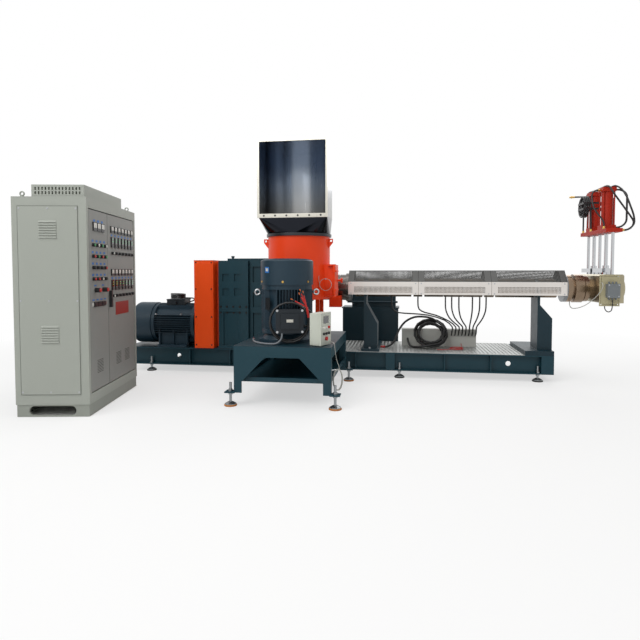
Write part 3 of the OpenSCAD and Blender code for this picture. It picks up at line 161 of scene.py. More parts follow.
# %% Paint and bare metal
def noise(wire, scale, detail=3.0, stretch=(1, 1, 1)):
    """Soft noise from 0 to 1 on Object coordinates in metres."""
    place = wire.node("ShaderNodeTexCoord", out=3)
    place = wire.node("ShaderNodeMapping", {}, {"Vector": place, "Scale": stretch})
    return wire.node("ShaderNodeTexNoise", {}, {"Vector": place, "Scale": scale, "Detail": detail})


def blend(wire, share, low, high):
    """A colour between two, which are colours or wires."""
    ends = [(*linear(c), 1) if isinstance(c, tuple) else c for c in (low, high)]
    return wire.node("ShaderNodeMix", {"data_type": "RGBA"}, {0: share, 6: ends[0], 7: ends[1]}, out=2)


def bumps(shader, wire, height, strength, depth):
    sockets = {"Height": height, "Strength": strength, "Distance": depth}
    feed(shader, "Normal", wire.node("ShaderNodeBump", {}, sockets))


PAINT_SHINE, DUST_TONE, DUST_SHARE = 0.28, 205, 0.35
# How fine each noise is.
PATCHES, SHEEN, PEEL, MARKS, TONES = 2.2, 14, 240, 60, 1.6


def paint(name, rgb, roughness, dust, coat, peel=0.12):
    made, shader, wire = finish(name, rgb, roughness, coat=coat)
    shader.inputs["Specular IOR Level"].default_value = PAINT_SHINE
    patches = noise(wire, PATCHES, 5)
    share = wire.node("ShaderNodeValToRGB", {"stops": ((0.42, 0.0), (0.78, dust))}, {"Fac": patches})
    paler = tuple(c + (DUST_TONE - c) * DUST_SHARE for c in rgb)
    feed(shader, "Base Color", blend(wire, share, tuple(rgb), paler))
    feed(shader, "Roughness", roughness - 0.06 + noise(wire, SHEEN) * 0.14)
    bumps(shader, wire, noise(wire, PEEL, 1), peel, 0.001)
    return made


def bare(name, rgb, roughness, grain=(1, 1, 1), depth=0.1, vary=0.10, above=None):
    """Bare metal whose grain runs along the axis with the smallest stretch. Above some height
    it may turn to another colour, a painted reflection."""
    made, shader, wire = finish(name, rgb, roughness, metallic=1.0)
    marks = noise(wire, MARKS, 4, grain)
    feed(shader, "Roughness", roughness - 0.08 + marks * 0.16)
    tone = noise(wire, TONES, 4)
    darker = tuple(c * (1 - 2.2 * vary) for c in rgb)
    colour = blend(wire, tone, darker, tuple(min(255, c * (1 + vary)) for c in rgb))
    # Above the given heights the colour turns to another one: a painted reflection.
    if above:
        low, high, other = above
        height = wire.node("ShaderNodeSeparateXYZ", {}, {0: wire.node("ShaderNodeTexCoord", out=3)}, out=2)
        share = wire.node("ShaderNodeMapRange", {}, {"Value": height, "From Min": low, "From Max": high})
        colour = blend(wire, share, colour, other)
    feed(shader, "Base Color", colour)
    bumps(shader, wire, marks, depth, 0.0006)
    return made


def plain(name, rgb, roughness, metallic=0.0, coat=0.0):
    return finish(name, rgb, roughness, metallic, coat)[0]


def pads(name, black=(30, 30, 30), orange=(178, 112, 50)):
    """Orange rubber under the stand in front, black under the base behind."""
    made, shader, wire = finish(name, black, 0.65)
    border = MACHINE @ Vector((0, -100, 0))
    place = wire.node("ShaderNodeSeparateXYZ", {}, {0: wire.node("ShaderNodeTexCoord", out=3)}, out=1)
    feed(shader, "Base Color", blend(wire, place < border.y, black, orange))
    return made


print("paints and metals are ready")

# %% Finishes of the solids and of small things
EVEN, ALONG_X, ALONG_Z = (1, 1, 1), (0.05, 1, 1), (1, 1, 0.05)
# Heights in metres: above the first pair the guard's top gets a painted dark reflection, and between the second
# the hood fades into a painted blue reflection.
GUARD_REFLECTION_UNDER, GUARD_REFLECTION_OVER, HOOD_REFLECTION_UNDER, HOOD_REFLECTION_OVER = 1.0785, 1.0795, 1.80, 2.40
# Each paint has its colour, roughness, dust and coat, and perhaps its orange peel.
PAINTS = {
    "teal_paint": ((14, 54, 65), 0.42, 0.06, 0.05),
    # A darker copy of the teal paint: painted shade.
    "deep_teal_paint": ((8, 38, 48), 0.42, 0.06, 0.05),
    "slate_paint": ((26, 48, 61), 0.45, 0.06, 0.03),
    "dark_paint": ((24, 31, 37), 0.45, 0.08, 0.03),
    "guard_orange": ((240, 78, 8), 0.45, 0.02, 0.05),
    "tank_orange": ((240, 66, 14), 0.42, 0.02, 0.08),
    "cylinder_red": ((170, 34, 8), 0.5, 0.02, 0.0, 0.05),
    "cream_paint": ((180, 172, 138), 0.5, 0.1, 0.05),
    "grey_paint": ((116, 121, 124), 0.45, 0.15, 0.05),
    "duct_paint": ((186, 187, 181), 0.5, 0.2, 0.05),
    "box_paint": ((196, 200, 188), 0.45, 0.1, 0.05),
    "cabinet_paint": ((160, 164, 156), 0.55, 0.06, 0.03, 0.25),
    "plinth_paint": ((146, 150, 142), 0.55, 0.1, 0.03, 0.25),
    "door_paint": ((139, 140, 136), 0.55, 0.06, 0.03, 0.25),
    "dark_casting": ((46, 50, 54), 0.55, 0.2, 0.0, 0.5),
}
# Each metal has its colour and roughness, and perhaps its grain, the depth of its marks, the
# spread of its tone, and another colour above some height, which is a painted reflection.
METALS = {
    "deck_aluminium": ((166, 168, 166), 0.4, EVEN, 0.1, 0.12),
    # Above the fold the guard's top slopes turn dark grey: a painted dark reflection.
    "guard_stainless": ((220, 215, 210), 0.36, ALONG_X, 0.12, 0.04, (GUARD_REFLECTION_UNDER, GUARD_REFLECTION_OVER, (72, 72, 71))),
    # From 1.8 m up to 2.4 m the hood turns bluish: a painted blue reflection.
    "hood_stainless": ((158, 157, 153), 0.24, ALONG_Z, 0.05, 0.12, (HOOD_REFLECTION_UNDER, HOOD_REFLECTION_OVER, (148, 159, 174))),
    # The hood's skirt: its stainless drawn near black, as painted shade.
    "skirt_stainless": ((40, 42, 48), 0.16, ALONG_Z, 0.04, 0.1),
    "frame_stainless": ((204, 201, 190), 0.3, ALONG_Z, 0.06, 0.04),
    "feed_steel": ((108, 104, 100), 0.26, ALONG_X, 0.1, 0.2),
    "zinc_steel": ((150, 154, 156), 0.3),
    "machined_steel": ((128, 130, 132), 0.32, ALONG_X),
    "rim_steel": ((62, 64, 67), 0.35),
    "heater_metal": ((118, 100, 80), 0.42, EVEN, 0.15, 0.2),
    "tinted_steel": ((134, 116, 98), 0.28, EVEN, 0.12, 0.3),
    "block_steel": ((164, 156, 132), 0.3, ALONG_X, 0.15, 0.16),
    "bright_rod": ((196, 198, 200), 0.12, EVEN, 0.02, 0.02),
}
# Each plain finish has its colour and roughness, and perhaps how metallic and coated it is.
PLAIN = {
    "instrument_plastic": ((30, 30, 32), 0.4),
    "cord_rubber": ((20, 20, 21), 0.48),
    "screw_zinc": ((178, 180, 182), 0.28, 1.0),
    "screw_black": ((34, 35, 37), 0.4, 0.6),
    "brass": ((196, 160, 86), 0.3, 1.0),
    "copper": ((190, 108, 70), 0.3, 1.0),
    "red_plastic": ((188, 32, 26), 0.35),
    "green_plastic": ((52, 148, 84), 0.35),
    "white_plastic": ((214, 213, 206), 0.4),
    "black_plastic": ((26, 27, 29), 0.38),
    "blue_tag": ((36, 104, 176), 0.5),
    "dark_glass": ((22, 26, 30), 0.12, 0.0, 0.5),
    "dark_plate": ((38, 42, 46), 0.35, 0.5),
    "pale_label": ((196, 194, 184), 0.55),
    "seam_grey": ((88, 91, 86), 0.6),
    "pale_wire": ((176, 175, 168), 0.5),
    "conduit_grey": ((116, 121, 126), 0.45),
    # Near black. On the doors' louvres it fills the slots as painted shade.
    "dark_gap": ((16, 17, 18), 0.8),
    "dull_red": ((146, 44, 38), 0.5),
    "green_lamp": ((70, 196, 110), 0.4),
}
look = {"pad_rubber": pads("pad_rubber")}
for kind, rows in ((paint, PAINTS), (bare, METALS), (plain, PLAIN)):
    look.update({name: kind(name, *row) for name, row in rows.items()})
# The skirt takes a near-black copy of the hood's stainless, as painted shade.
OTHER_LOOK = {"hood_skirt": "skirt_stainless", "hood_frame": "frame_stainless", "feed_housing": "feed_steel"}
for row in frame["record"]["subparts"]:
    solid = nodes[row["node"]]
    solid.data.materials.clear()
    solid.data.materials.append(look[OTHER_LOOK.get(row["node"], row["material_slot"])])
print("finishes", len(look))

# %% [markdown]
# ## Cables and hoses
# A cable is a fixed length of something flexible, so it is a curve with a round bevel,
# not a mesh. A few listed points give its route, and a Catmull-Rom curve through
# them gives a smooth line that can be sampled as finely as needed.


# %% A smooth route through a few points
def smooth(points, per_span):
    """Points on a Catmull-Rom curve through the given ones."""
    p = [Vector(q) for q in points]
    p = [p[0]] + p + [p[-1]]
    found = []
    for a, b, c, d in zip(p, p[1:], p[2:], p[3:]):
        for k in range(per_span):
            t = k / per_span
            found.append((2 * b + (c - a) * t + (2 * a - 5 * b + 4 * c - d) * t * t
                + (3 * b - a - 3 * c + d) * t ** 3) / 2)
    return found + [p[-1]]


def run(points):
    """Length along a list of points."""
    return sum((b - a).length for a, b in zip(points, points[1:]))


def arc(middle, radius, first, last, steps):
    """Pairs of numbers along part of a circle, from one angle in degrees to another."""
    angles = [math.radians(first + (last - first) * k / steps) for k in range(steps + 1)]
    return [(middle[0] + radius * math.cos(a), middle[1] + radius * math.sin(a)) for a in angles]


def winding(middle, first, second, radius, turns, steps, pitch, grow=0.0):
    """Points of a coil from first's side towards second's, which each turn moves on and may grow."""
    found = []
    for k in range(int(turns * steps) + 1):
        turn = k / steps
        side = Vector(first) * math.cos(math.tau * turn) + Vector(second) * math.sin(math.tau * turn)
        found.append(Vector(middle) + side * (radius + grow * turn) + Vector(pitch) * turn)
    return found


def wound(start, coil, end=()):
    """A smooth way into a coil, the coil, and perhaps a smooth way out."""
    line = smooth(list(start) + coil[:1], 3)[:-1] + coil
    return line + smooth(coil[-1:] + list(end), 3)[1:] if end else line


def end_of(line):
    """The last point of a route and the way that it points."""
    return line[-1], (line[-1] - line[-2]).normalized()


def cable(name, points, radius, finish_of="cord_rubber", place=MACHINE, instead_of=()):
    """A round cord along points in millimetres, whose measured length is printed."""
    points = [place @ Vector(q) for q in points]
    curve = bpy.data.curves.new(name, "CURVE")
    curve.dimensions = "3D"
    curve.bevel_depth = 1.0
    curve.bevel_resolution = 3
    curve.use_fill_caps = True
    curve.materials.append(look[finish_of])
    line = curve.splines.new("POLY")
    line.points.add(len(points) - 1)
    for knot, where in zip(line.points, points):
        knot.co = (*where, 1)
        knot.radius = radius * MM
    line.use_smooth = True
    made = bpy.data.objects.new(name, curve)
    scene.collection.objects.link(made)
    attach(made, "machine")
    for node in instead_of:
        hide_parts(node)
    length = run(points)
    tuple(points[0])
    print(name, "is", round(length, 2), "m long")


# %% [markdown]
# Eight leads drop from the heater bands to the wiring duct. The two long ones pass over
# the coil on the deck. Each row has where the lead leaves its band, the bends between, as
# shares of the way along, and where along the duct it ends.

# %% Heater leads
AXIS_Y, LEAD_Z, LEAD_R = 230, 904, 8
SHORT = [(0.0, 231, 820), (0.05, 245, 745), (0.3, 320, 658), (0.7, 405, 588)]
LONGEST = [(0.0, 231, 830), (0.02, 245, 760), (0.11, 290, 715), (0.31, 350, 700), (0.6, 400, 680),
    (0.87, 435, 620)]
LONG = [(0.0, 231, 830), (0.03, 245, 762), (0.18, 300, 720), (0.49, 370, 680), (0.82, 425, 610)]
INTO_DUCT = [(1.0, 452, 540), (1.0, 473, 482), (1.0, 510, 443), (1.0, 549.5, 430)]
LEADS = [(3210, LONGEST, 3920), (3510, LONG, 3960), (3820, SHORT, 4000), (3890, SHORT, 4040),
    (3970, SHORT, 4080), (4120, SHORT, 4120), (4200, SHORT, 4160), (4270, SHORT, 4200)]
for number, (band_x, bends, duct_x) in enumerate(LEADS):
    route = [(0.0, AXIS_Y, LEAD_Z)] + bends + INTO_DUCT
    line = smooth([(band_x + (duct_x - band_x) * share, y, z) for share, y, z in route], 2)
    cable(f"heater_lead_{number + 1}", line, LEAD_R, instead_of=["heater_leads"])

# %% [markdown]
# Each hydraulic cylinder has a hose between its two ports. It turns down and back in round
# quarters, and leans a little towards the front.

# %% Cylinder hoses
PORT_X, PORT_Z, PORT_RISE, HOSE_R = 5547.6, 1662, 396, 10
PISTON_YS = (55, 405)
HOSE_OUT, HOSE_BEND, HOSE_LEAN = 20, 85, 20
half = [(0, PORT_RISE)] + arc((HOSE_OUT, PORT_RISE - HOSE_BEND), HOSE_BEND, 90, 0, 6)
hose = half + [(HOSE_OUT + HOSE_BEND, PORT_RISE / 2)] + [(x, PORT_RISE - z) for x, z in reversed(half)]
for name, y in zip(("near_hose", "far_hose"), PISTON_YS):
    line = [(PORT_X + x, y - HOSE_LEAN * (x / (HOSE_OUT + HOSE_BEND)) ** 2, PORT_Z + z) for x, z in hose]
    cable(name, line, HOSE_R, instead_of=["changer_hoses"])

# %% [markdown]
# ## Edges
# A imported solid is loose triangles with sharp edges. Welding them, rounding the edges by
# a millimetre or two and splitting the shading at what is still sharp catches the light
# as real plate and castings do. These are modifiers, so the solids stay as they are.


# %% Soften the solids' edges
WELD_DISTANCE, ROUNDED_FROM, SHARP, LOUVRE_SHARP, EDGE = 0.00002, 50, 40, 5, 0.0015


def soften(solid, width, sharp=SHARP):
    solid.data.shade_smooth()
    weld = solid.modifiers.new("weld", "WELD")
    weld.merge_threshold = WELD_DISTANCE
    if width:
        bevel = solid.modifiers.new("edges", "BEVEL")
        bevel.width = width
        bevel.segments = 2
        bevel.limit_method = "ANGLE"
        bevel.angle_limit = math.radians(ROUNDED_FROM)
        bevel.use_clamp_overlap = True
    split = solid.modifiers.new("sharp", "EDGE_SPLIT")
    split.split_angle = math.radians(sharp)
    solid.modifiers.new("flat", "WEIGHTED_NORMAL")


ROUNDING = {"belt_guard": 0.004, "gearbox_lower": 0.004, "gearbox_upper": 0.005, "barrel_supports": 0.003,
    "cabinet_shell": 0.0, "cabinet_front_frame": 0.003, "control_box": 0.004, "stand_belt_box": 0.004}
shown = {name: solid for name, solid in nodes.items() if not solid.hide_render}
for name, solid in shown.items():
    soften(solid, ROUNDING.get(name, EDGE), LOUVRE_SHARP if name == "cabinet_shell" else SHARP)
print("softened the edges of", len(shown), "solids")

# %% [markdown]
# ## Small shapes
# Meters, plates and lamps are a few boxes and round bars each. They are written in
# millimetres in the frame of what they sit on: the machine, the turned motor, the turned
# cabinet. A matrix then takes the finished mesh to metres in the shared frame.


# %% Boxes and round bars
class Shape:
    """Collects boxes, round bars and plates in one mesh."""

    def __init__(self):
        self.mesh = bmesh.new()

    def box(self, low, high):
        size = Vector(high) - Vector(low)
        place = Matrix.Translation((Vector(low) + Vector(high)) / 2) @ Matrix.Diagonal((*size, 1))
        bmesh.ops.create_cube(self.mesh, size=1, matrix=place)
        return self

    def bar(self, start, end, radius, sides=20, tip=None):
        """A round bar, or a cone if its tip has another radius."""
        along = Vector(end) - Vector(start)
        turn = along.to_track_quat("Z", "Y").to_matrix().to_4x4()
        place = Matrix.Translation((Vector(start) + Vector(end)) / 2) @ turn
        bmesh.ops.create_cone(self.mesh, cap_ends=True, segments=sides, radius1=radius,
            radius2=radius if tip is None else tip, depth=along.length, matrix=place)
        return self

    def ring(self, middle, ring_radius, radius, steps=24, sides=12):
        """A round ring about the y axis."""
        rows = []
        for k in range(steps):
            out = Vector((math.cos(math.tau * k / steps), 0, math.sin(math.tau * k / steps)))
            rows.append([])
            for n in range(sides):
                angle = math.tau * n / sides
                offset = out * (ring_radius + radius * math.cos(angle))
                offset.y = radius * math.sin(angle)
                rows[-1].append(self.mesh.verts.new(Vector(middle) + offset))
        for one, other in zip(rows, rows[1:] + rows[:1]):
            for n in range(sides):
                self.mesh.faces.new((one[n], one[(n + 1) % sides], other[(n + 1) % sides], other[n]))
        bmesh.ops.recalc_face_normals(self.mesh, faces=self.mesh.faces)
        return self

    def plate(self, corners):
        self.mesh.faces.new([self.mesh.verts.new(c) for c in corners])
        return self

    def take(self, other, place):
        """Adds a mesh, moved by a matrix."""
        copy = other.copy()
        copy.transform(place)
        self.mesh.from_mesh(copy)
        bpy.data.meshes.remove(copy)
        return self

    def make(self, name, finish_of, place=MACHINE, body="machine", edge=0.0):
        """A piece of the collected mesh, whose edges are rounded unless edge is None."""
        made = bpy.data.objects.new(name, bpy.data.meshes.new(name))
        self.mesh.to_mesh(made.data)
        self.mesh.free()
        made.data.transform(place)
        made.data.materials.append(look[finish_of])
        scene.collection.objects.link(made)
        if edge is not None:
            soften(made, edge)
        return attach(made, body)


MOTOR_PLACE = turned(2236, -1020, 0, 16)
CABINET_TURN, CABINET_DEPTH = 10, 600
CABINET = turned(787, -1991, 0, CABINET_TURN) @ Matrix.Translation((-CABINET_DEPTH, 0, 0))
print("frames for the machine, its motor and the cabinet")

# %% [markdown]
# ## What repeats
# Screws, studs and perforations are made by Geometry Nodes. Each tree puts one small
# shape on many points, and its sizes are named inputs. A tree's result is kept as a plain
# mesh, so nothing has to be worked out again later.


# %% Trees and how they are run
def tree(name, inputs):
    """An empty tree with named inputs. Returns it and a wire for each input."""
    made = bpy.data.node_groups.new(name, "GeometryNodeTree")
    made.interface.new_socket("Geometry", in_out="INPUT", socket_type="NodeSocketGeometry")
    for label, kind in inputs.items():
        made.interface.new_socket(label, in_out="INPUT", socket_type="NodeSocket" + kind)
    made.interface.new_socket("Geometry", in_out="OUTPUT", socket_type="NodeSocketGeometry")
    source = made.nodes.new("NodeGroupInput")
    return made, {s.name: Wire(made, s) for s in source.outputs if s.name}


def close(made, instances, material):
    """Ends a tree: real faces with the material."""
    real = instances.node("GeometryNodeRealizeInstances", {}, {"Geometry": instances})
    done = real.node("GeometryNodeSetMaterial", {}, {"Geometry": real, "Material": material})
    made.links.new(done.output, made.nodes.new("NodeGroupOutput").inputs[0])


def mesh_of(made, values, seeds=()):
    """The plain mesh that a tree makes on seeds, which are rows of a place and a facing."""
    start = bpy.data.meshes.new("seeds")
    start.from_pydata([s[0] for s in seeds], [], [])
    facing = start.attributes.new("facing", "FLOAT_VECTOR", "POINT")
    facing.data.foreach_set("vector", [c for s in seeds for c in s[1]])
    holder = bpy.data.objects.new("seeds", start)
    scene.collection.objects.link(holder)
    modifier = holder.modifiers.new("repeat", "NODES")
    modifier.node_group = made
    for item in made.interface.items_tree:
        if item.in_out == "INPUT" and item.name in values:
            modifier[item.identifier] = values[item.name]
    bpy.context.view_layer.update()
    found = bpy.data.meshes.new_from_object(holder.evaluated_get(bpy.context.evaluated_depsgraph_get()))
    bpy.data.objects.remove(holder)
    return found


def keep(name, found, place):
    """A mesh as a piece of the machine."""
    found.transform(place)
    made = bpy.data.objects.new(name, found)
    scene.collection.objects.link(made)
    print(name, len(found.polygons), "faces")
    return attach(made, "machine")


def on_points(wire, points, shape, rotation):
    sockets = {"Points": points, "Instance": shape, "Rotation": rotation}
    return wire.node("GeometryNodeInstanceOnPoints", {}, sockets)


def moved(shape, *offset):
    """A shape moved by three numbers or wires."""
    by = shape.node("ShaderNodeCombineXYZ", {}, dict(zip("XYZ", offset)))
    return shape.node("GeometryNodeTransform", {}, {"Geometry": shape, "Translation": by})


def joined(*shapes):
    made = shapes[0].tree.nodes.new("GeometryNodeJoinGeometry")
    for shape in reversed(shapes):
        made.id_data.links.new(shape.output, made.inputs[0])
    return Wire(made.id_data, made.outputs[0])


def grid(part):
    """A flat grid of points, a pitch apart."""
    columns, rows, pitch = part["Columns"], part["Rows"], part["Pitch"]
    sockets = {"Size X": (columns - 1.0) * pitch, "Size Y": (rows - 1.0) * pitch,
        "Vertices X": columns, "Vertices Y": rows}
    return pitch.node("GeometryNodeMeshGrid", {}, sockets)


# %% [markdown]
# A screw is a head on a washer. Six sides make a bolt head, more make a round one.

# %% Tree for screws
SCREW, part = tree("screws", {"Head Radius": "Float", "Head Height": "Float", "Sides": "Int",
    "Washer Radius": "Float", "Washer Height": "Float", "Material": "Material"})
wire = part["Geometry"]
head = wire.node("GeometryNodeMeshCylinder", {}, {"Vertices": part["Sides"],
    "Radius": part["Head Radius"], "Depth": part["Head Height"]})
head = moved(head, 0.0, 0.0, part["Washer Height"] + part["Head Height"] * 0.5)
washer = wire.node("GeometryNodeMeshCylinder", {}, {"Vertices": 16,
    "Radius": part["Washer Radius"], "Depth": part["Washer Height"]})
washer = moved(washer, 0.0, 0.0, part["Washer Height"] * 0.5)
toward = wire.node("GeometryNodeInputNamedAttribute", {"data_type": "FLOAT_VECTOR"}, {"Name": "facing"})
aligned = wire.node("FunctionNodeAlignRotationToVector", {"axis": "Z"}, {"Vector": toward})
close(SCREW, on_points(wire, wire, joined(head, washer), aligned), part["Material"])


WASHER_WIDER, WASHER_FLATTER = 1.35, 0.25


def screws(name, seeds, head_radius, head_height, place=MACHINE, finish_of="screw_zinc", sides=6):
    """Screws at rows of a place and the way their heads face."""
    found = mesh_of(SCREW, {"Head Radius": head_radius, "Head Height": head_height, "Sides": sides,
        "Washer Radius": head_radius * WASHER_WIDER, "Washer Height": head_height * WASHER_FLATTER,
        "Material": look[finish_of]}, seeds)
    return keep(name, found, place)


# %% [markdown]
# Perforated sheet is punched in rows. One cell is a square with an eight-sided hole, and a
# grid of cells makes a field of them.

# %% Tree for perforated sheet
PERFORATION, part = tree("perforation", {"Columns": "Int", "Rows": "Int", "Pitch": "Float",
    "Hole Radius": "Float", "Material": "Material"})
wire = part["Geometry"]
square = {"Width": part["Pitch"], "Height": part["Pitch"]}
edge = wire.node("GeometryNodeCurvePrimitiveQuadrilateral", {}, square)
hole = wire.node("GeometryNodeCurvePrimitiveCircle", {}, {"Resolution": 8, "Radius": part["Hole Radius"]})
cell = wire.node("GeometryNodeFillCurve", {}, {"Curve": joined(edge, hole)})
cells = wire.node("GeometryNodeInstanceOnPoints", {}, {"Points": grid(part), "Instance": cell})
cells = wire.node("GeometryNodeRealizeInstances", {}, {"Geometry": cells})
cells = wire.node("GeometryNodeMergeByDistance", {}, {"Geometry": cells, "Distance": part["Pitch"] * 0.01})
close(PERFORATION, cells, part["Material"])
print("trees for screws and perforations")

# %% [markdown]
# ## Barrel guard
# The guard is folded sheet in three sections. Each face has a perforated field so that
# heat can leave, and plain bands where the sheets are screwed to the frames inside.

# %% Perforated barrel guard
GUARD_X, GUARD_STEP, GUARD_LENGTH, GUARD_SHEET = 2720, 789.33, 786.33, 0.002
HOLE_PITCH, HOLE_R, COLUMNS = 14, 5.3, 47
FOLD = [(40, 935), (40, 1078), (165, 1208), (295, 1208), (420, 1078), (420, 935)]
FIELDS = [(5, 0.40), (11, 0.5), (8, 0.5), (11, 0.5), (5, 0.60)]
field_meshes = {rows: mesh_of(PERFORATION, {"Columns": COLUMNS, "Rows": rows, "Pitch": HOLE_PITCH,
    "Hole Radius": HOLE_R, "Material": look["guard_stainless"]}) for rows in (5, 8, 11)}


def thicken(sheet):
    """Gives a folded sheet its thickness, inwards."""
    thick = sheet.modifiers.new("sheet", "SOLIDIFY")
    thick.thickness = GUARD_SHEET
    thick.offset = -1


for number in range(3):
    sheet = Shape()
    for low, high, (rows, share) in zip(FOLD, FOLD[1:], FIELDS):
        up = Vector((0, high[0] - low[0], high[1] - low[1]))
        height = up.length
        up.normalize()
        along = Vector((1, 0, 0))
        corner = Vector((GUARD_X + number * GUARD_STEP, *low))
        mid_x, mid_s = GUARD_LENGTH / 2, height * share
        half_x, half_s = COLUMNS * HOLE_PITCH / 2, rows * HOLE_PITCH / 2
        xs = (0, mid_x - half_x, mid_x + half_x, GUARD_LENGTH)
        ss = (0, mid_s - half_s, mid_s + half_s, height)
        for x0, x1, s0, s1 in ((0, 3, 0, 1), (0, 3, 2, 3), (0, 1, 1, 2), (2, 3, 1, 2)):
            around = ((x0, s0), (x1, s0), (x1, s1), (x0, s1))
            sheet.plate([corner + along * xs[x] + up * ss[s] for x, s in around])
        turn = Matrix((along, up, along.cross(up))).transposed().to_4x4()
        middle = corner + along * mid_x + up * mid_s
        sheet.take(field_meshes[rows], Matrix.Translation(middle) @ turn)
    bmesh.ops.remove_doubles(sheet.mesh, verts=sheet.mesh.verts, dist=0.05)
    guard = sheet.make(f"guard_section_{number + 1}", "guard_stainless", edge=None)
    thicken(guard)
    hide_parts("barrel_guard")
    print(guard.name, len(guard.data.polygons), "faces")

# %% Guard ends and screws
AXIS_Z, ARCH_R, SCREW_IN, SCREW_ZS = 1010, 112, 30, (950, 1062)
arch = arc((AXIS_Y, AXIS_Z), ARCH_R, 222, -42, 18)
ends = Shape()
for x in (GUARD_X + 1, GUARD_X + 3 * GUARD_STEP - 6):
    ends.plate([(x, y, z) for y, z in FOLD[::-1] + arch])
thicken(ends.make("guard_ends", "guard_stainless", edge=None))
seeds = []
for number, x, z in product(range(3), (SCREW_IN, GUARD_LENGTH - SCREW_IN), SCREW_ZS):
    for y, way in ((FOLD[0][0], -1), (FOLD[-1][0], 1)):
        seeds.append(((GUARD_X + number * GUARD_STEP + x, y, z), (0, way, 0)))
screws("guard_screws", seeds, 6, 4, sides=12)

# %% [markdown]
# ## Chequer plate
# The deck is chequer plate: short raised bars that point left and right in turn, so that
# boots don't slip. A grid gives the places, and each bar's turn comes from its index.

# %% Tree for chequer studs
CHEQUER, part = tree("chequer", {"Columns": "Int", "Rows": "Int", "Pitch": "Float", "Stud Length": "Float",
    "Stud Width": "Float", "Stud Height": "Float", "Material": "Material"})
wire = part["Geometry"]
cone = {"Vertices": 6, "Radius Top": 0.32, "Radius Bottom": 0.5, "Depth": 1.0}
stud = wire.node("GeometryNodeMeshCone", {}, cone)
size = {"X": part["Stud Length"], "Y": part["Stud Width"], "Z": part["Stud Height"]}
size = wire.node("ShaderNodeCombineXYZ", {}, size)
stud = wire.node("GeometryNodeTransform", {}, {"Geometry": stud, "Scale": size})
index = wire.node("GeometryNodeInputIndex")
column = wire.math("FLOOR", wire.math("DIVIDE", index, part["Rows"]), 0.0)
odd = wire.math("MODULO", column + wire.math("MODULO", index, part["Rows"]), 2.0)
turn = wire.node("ShaderNodeCombineXYZ", {}, {"Z": (odd - 0.5) * (math.pi / 2)})
turn = wire.node("FunctionNodeEulerToRotation", {}, {"Euler": turn})
close(CHEQUER, on_points(wire, grid(part), stud, turn), part["Material"])


def extent(name):
    """The low and high corner of a solid, in millimetres of the machine."""
    solid = nodes[name]
    corners = [MACHINE.inverted() @ (solid.matrix_world @ Vector(c)) for c in solid.bound_box]
    return [Vector(map(pick, zip(*corners))) for pick in (min, max)]


STUD_PITCH = 42
low, high = extent("deck_plate")
count = [int((high[k] - low[k]) / STUD_PITCH) for k in (0, 1)]
studs = mesh_of(CHEQUER, {"Columns": count[0], "Rows": count[1], "Pitch": STUD_PITCH, "Stud Length": 37.0,
    "Stud Width": 10.0, "Stud Height": 3.0, "Material": look["deck_aluminium"]})
middle = Matrix.Translation(((low[0] + high[0]) / 2, (low[1] + high[1]) / 2, high[2]))
studs = keep("deck_studs", studs, MACHINE @ middle)

# %% [markdown]
# ## Screws
# To seat a screw, a ray is sent at the part from outside. Where it first meets a solid is
# where the washer lies, so no depth has to be measured by hand.


# %% Where a ray meets the part
def seats(place, starts, way):
    """Rows of a place and a facing for screws, where rays from local places meet the part."""
    graph = bpy.context.evaluated_depsgraph_get()
    turn = place.to_3x3().normalized()
    rows = []
    for start in starts:
        met, where, *_ = scene.ray_cast(graph, place @ Vector(start), turn @ Vector(way))
        if met:
            rows.append((tuple(place.inverted() @ where), tuple(-Vector(way))))
    return rows


def spot(place, start, way):
    """The local place where one ray meets the part."""
    return Vector(seats(place, [start], way)[0][0])


AHEAD, DOWN, UP, BACK, LEFT = (0, 1, 0), (0, 0, -1), (0, 0, 1), (1, 0, 0), (-1, 0, 0)
LIP_XS, GEAR_XS = (1940, 2056, 2172, 2288, 2404, 2520), (1205, 1280, 1360, 1440, 1520)
FLANGE_X, FLANGE_R = 5092, 128
FLANGE = [(FLANGE_X, y, z) for y, z in arc((AXIS_Y, AXIS_Z), FLANGE_R, 22.5, 337.5, 7)]
# Each row has the frame, where the rays start and go, the head's radius and height, finish and sides.
SCREWS = {
    "lip_screws": (MACHINE, product(LIP_XS, (-2500,), (1757,)), AHEAD, 7, 4, "screw_black", 12),
    "heater_plate_screws": (MACHINE, product((5341, 5507), (-900,), (856, 1146)), AHEAD, 9, 7, "screw_zinc", 6),
    "junction_box_screws": (MACHINE, product((5393, 5485), (-900,), (942, 1058)), AHEAD, 5, 3,
        "screw_zinc", 12),
    "terminal_screws": (MOTOR_PLACE, product((-112, 112), (-900,), (655, 846)), AHEAD, 8, 5, "screw_zinc", 6),
    "side_panel_screws": (CABINET, product((62, 290, 518), (-400,), (205, 955, 1704)), AHEAD, 6, 2.5,
        "screw_zinc", 12),
    "motor_foot_bolts": (MACHINE, product((380, 700), (55, 445), (2500,)), DOWN, 14, 12, "screw_zinc", 6),
    "flange_bolts": (MACHINE, FLANGE, BACK, 13, 14, "screw_black", 6),
    "gearbox_bolts": (MACHINE, product(GEAR_XS, (-700,), (712, 780)), AHEAD, 10, 8, "screw_black", 6),
    "belt_guard_screws": (MACHINE, product((922, 1113), (-700,), (330, 660, 990, 1300)), AHEAD, 7, 4,
        "screw_black", 12),
}
for name, (place, starts, way, radius, height, finish_of, sides) in SCREWS.items():
    screws(name, seats(place, starts, way), radius, height, place, finish_of, sides)
COWL_TURN, COWL_START, COWL_SCREW_Z, FOOT_TOP = math.degrees(0.3), 600, 1100, 320
rows = []
for x, y in arc((0, 0), COWL_START, COWL_TURN, COWL_TURN + 300, 5):
    rows += seats(MOTOR_PLACE, [(x, y, COWL_SCREW_Z)], -Vector((x, y, 0)).normalized())
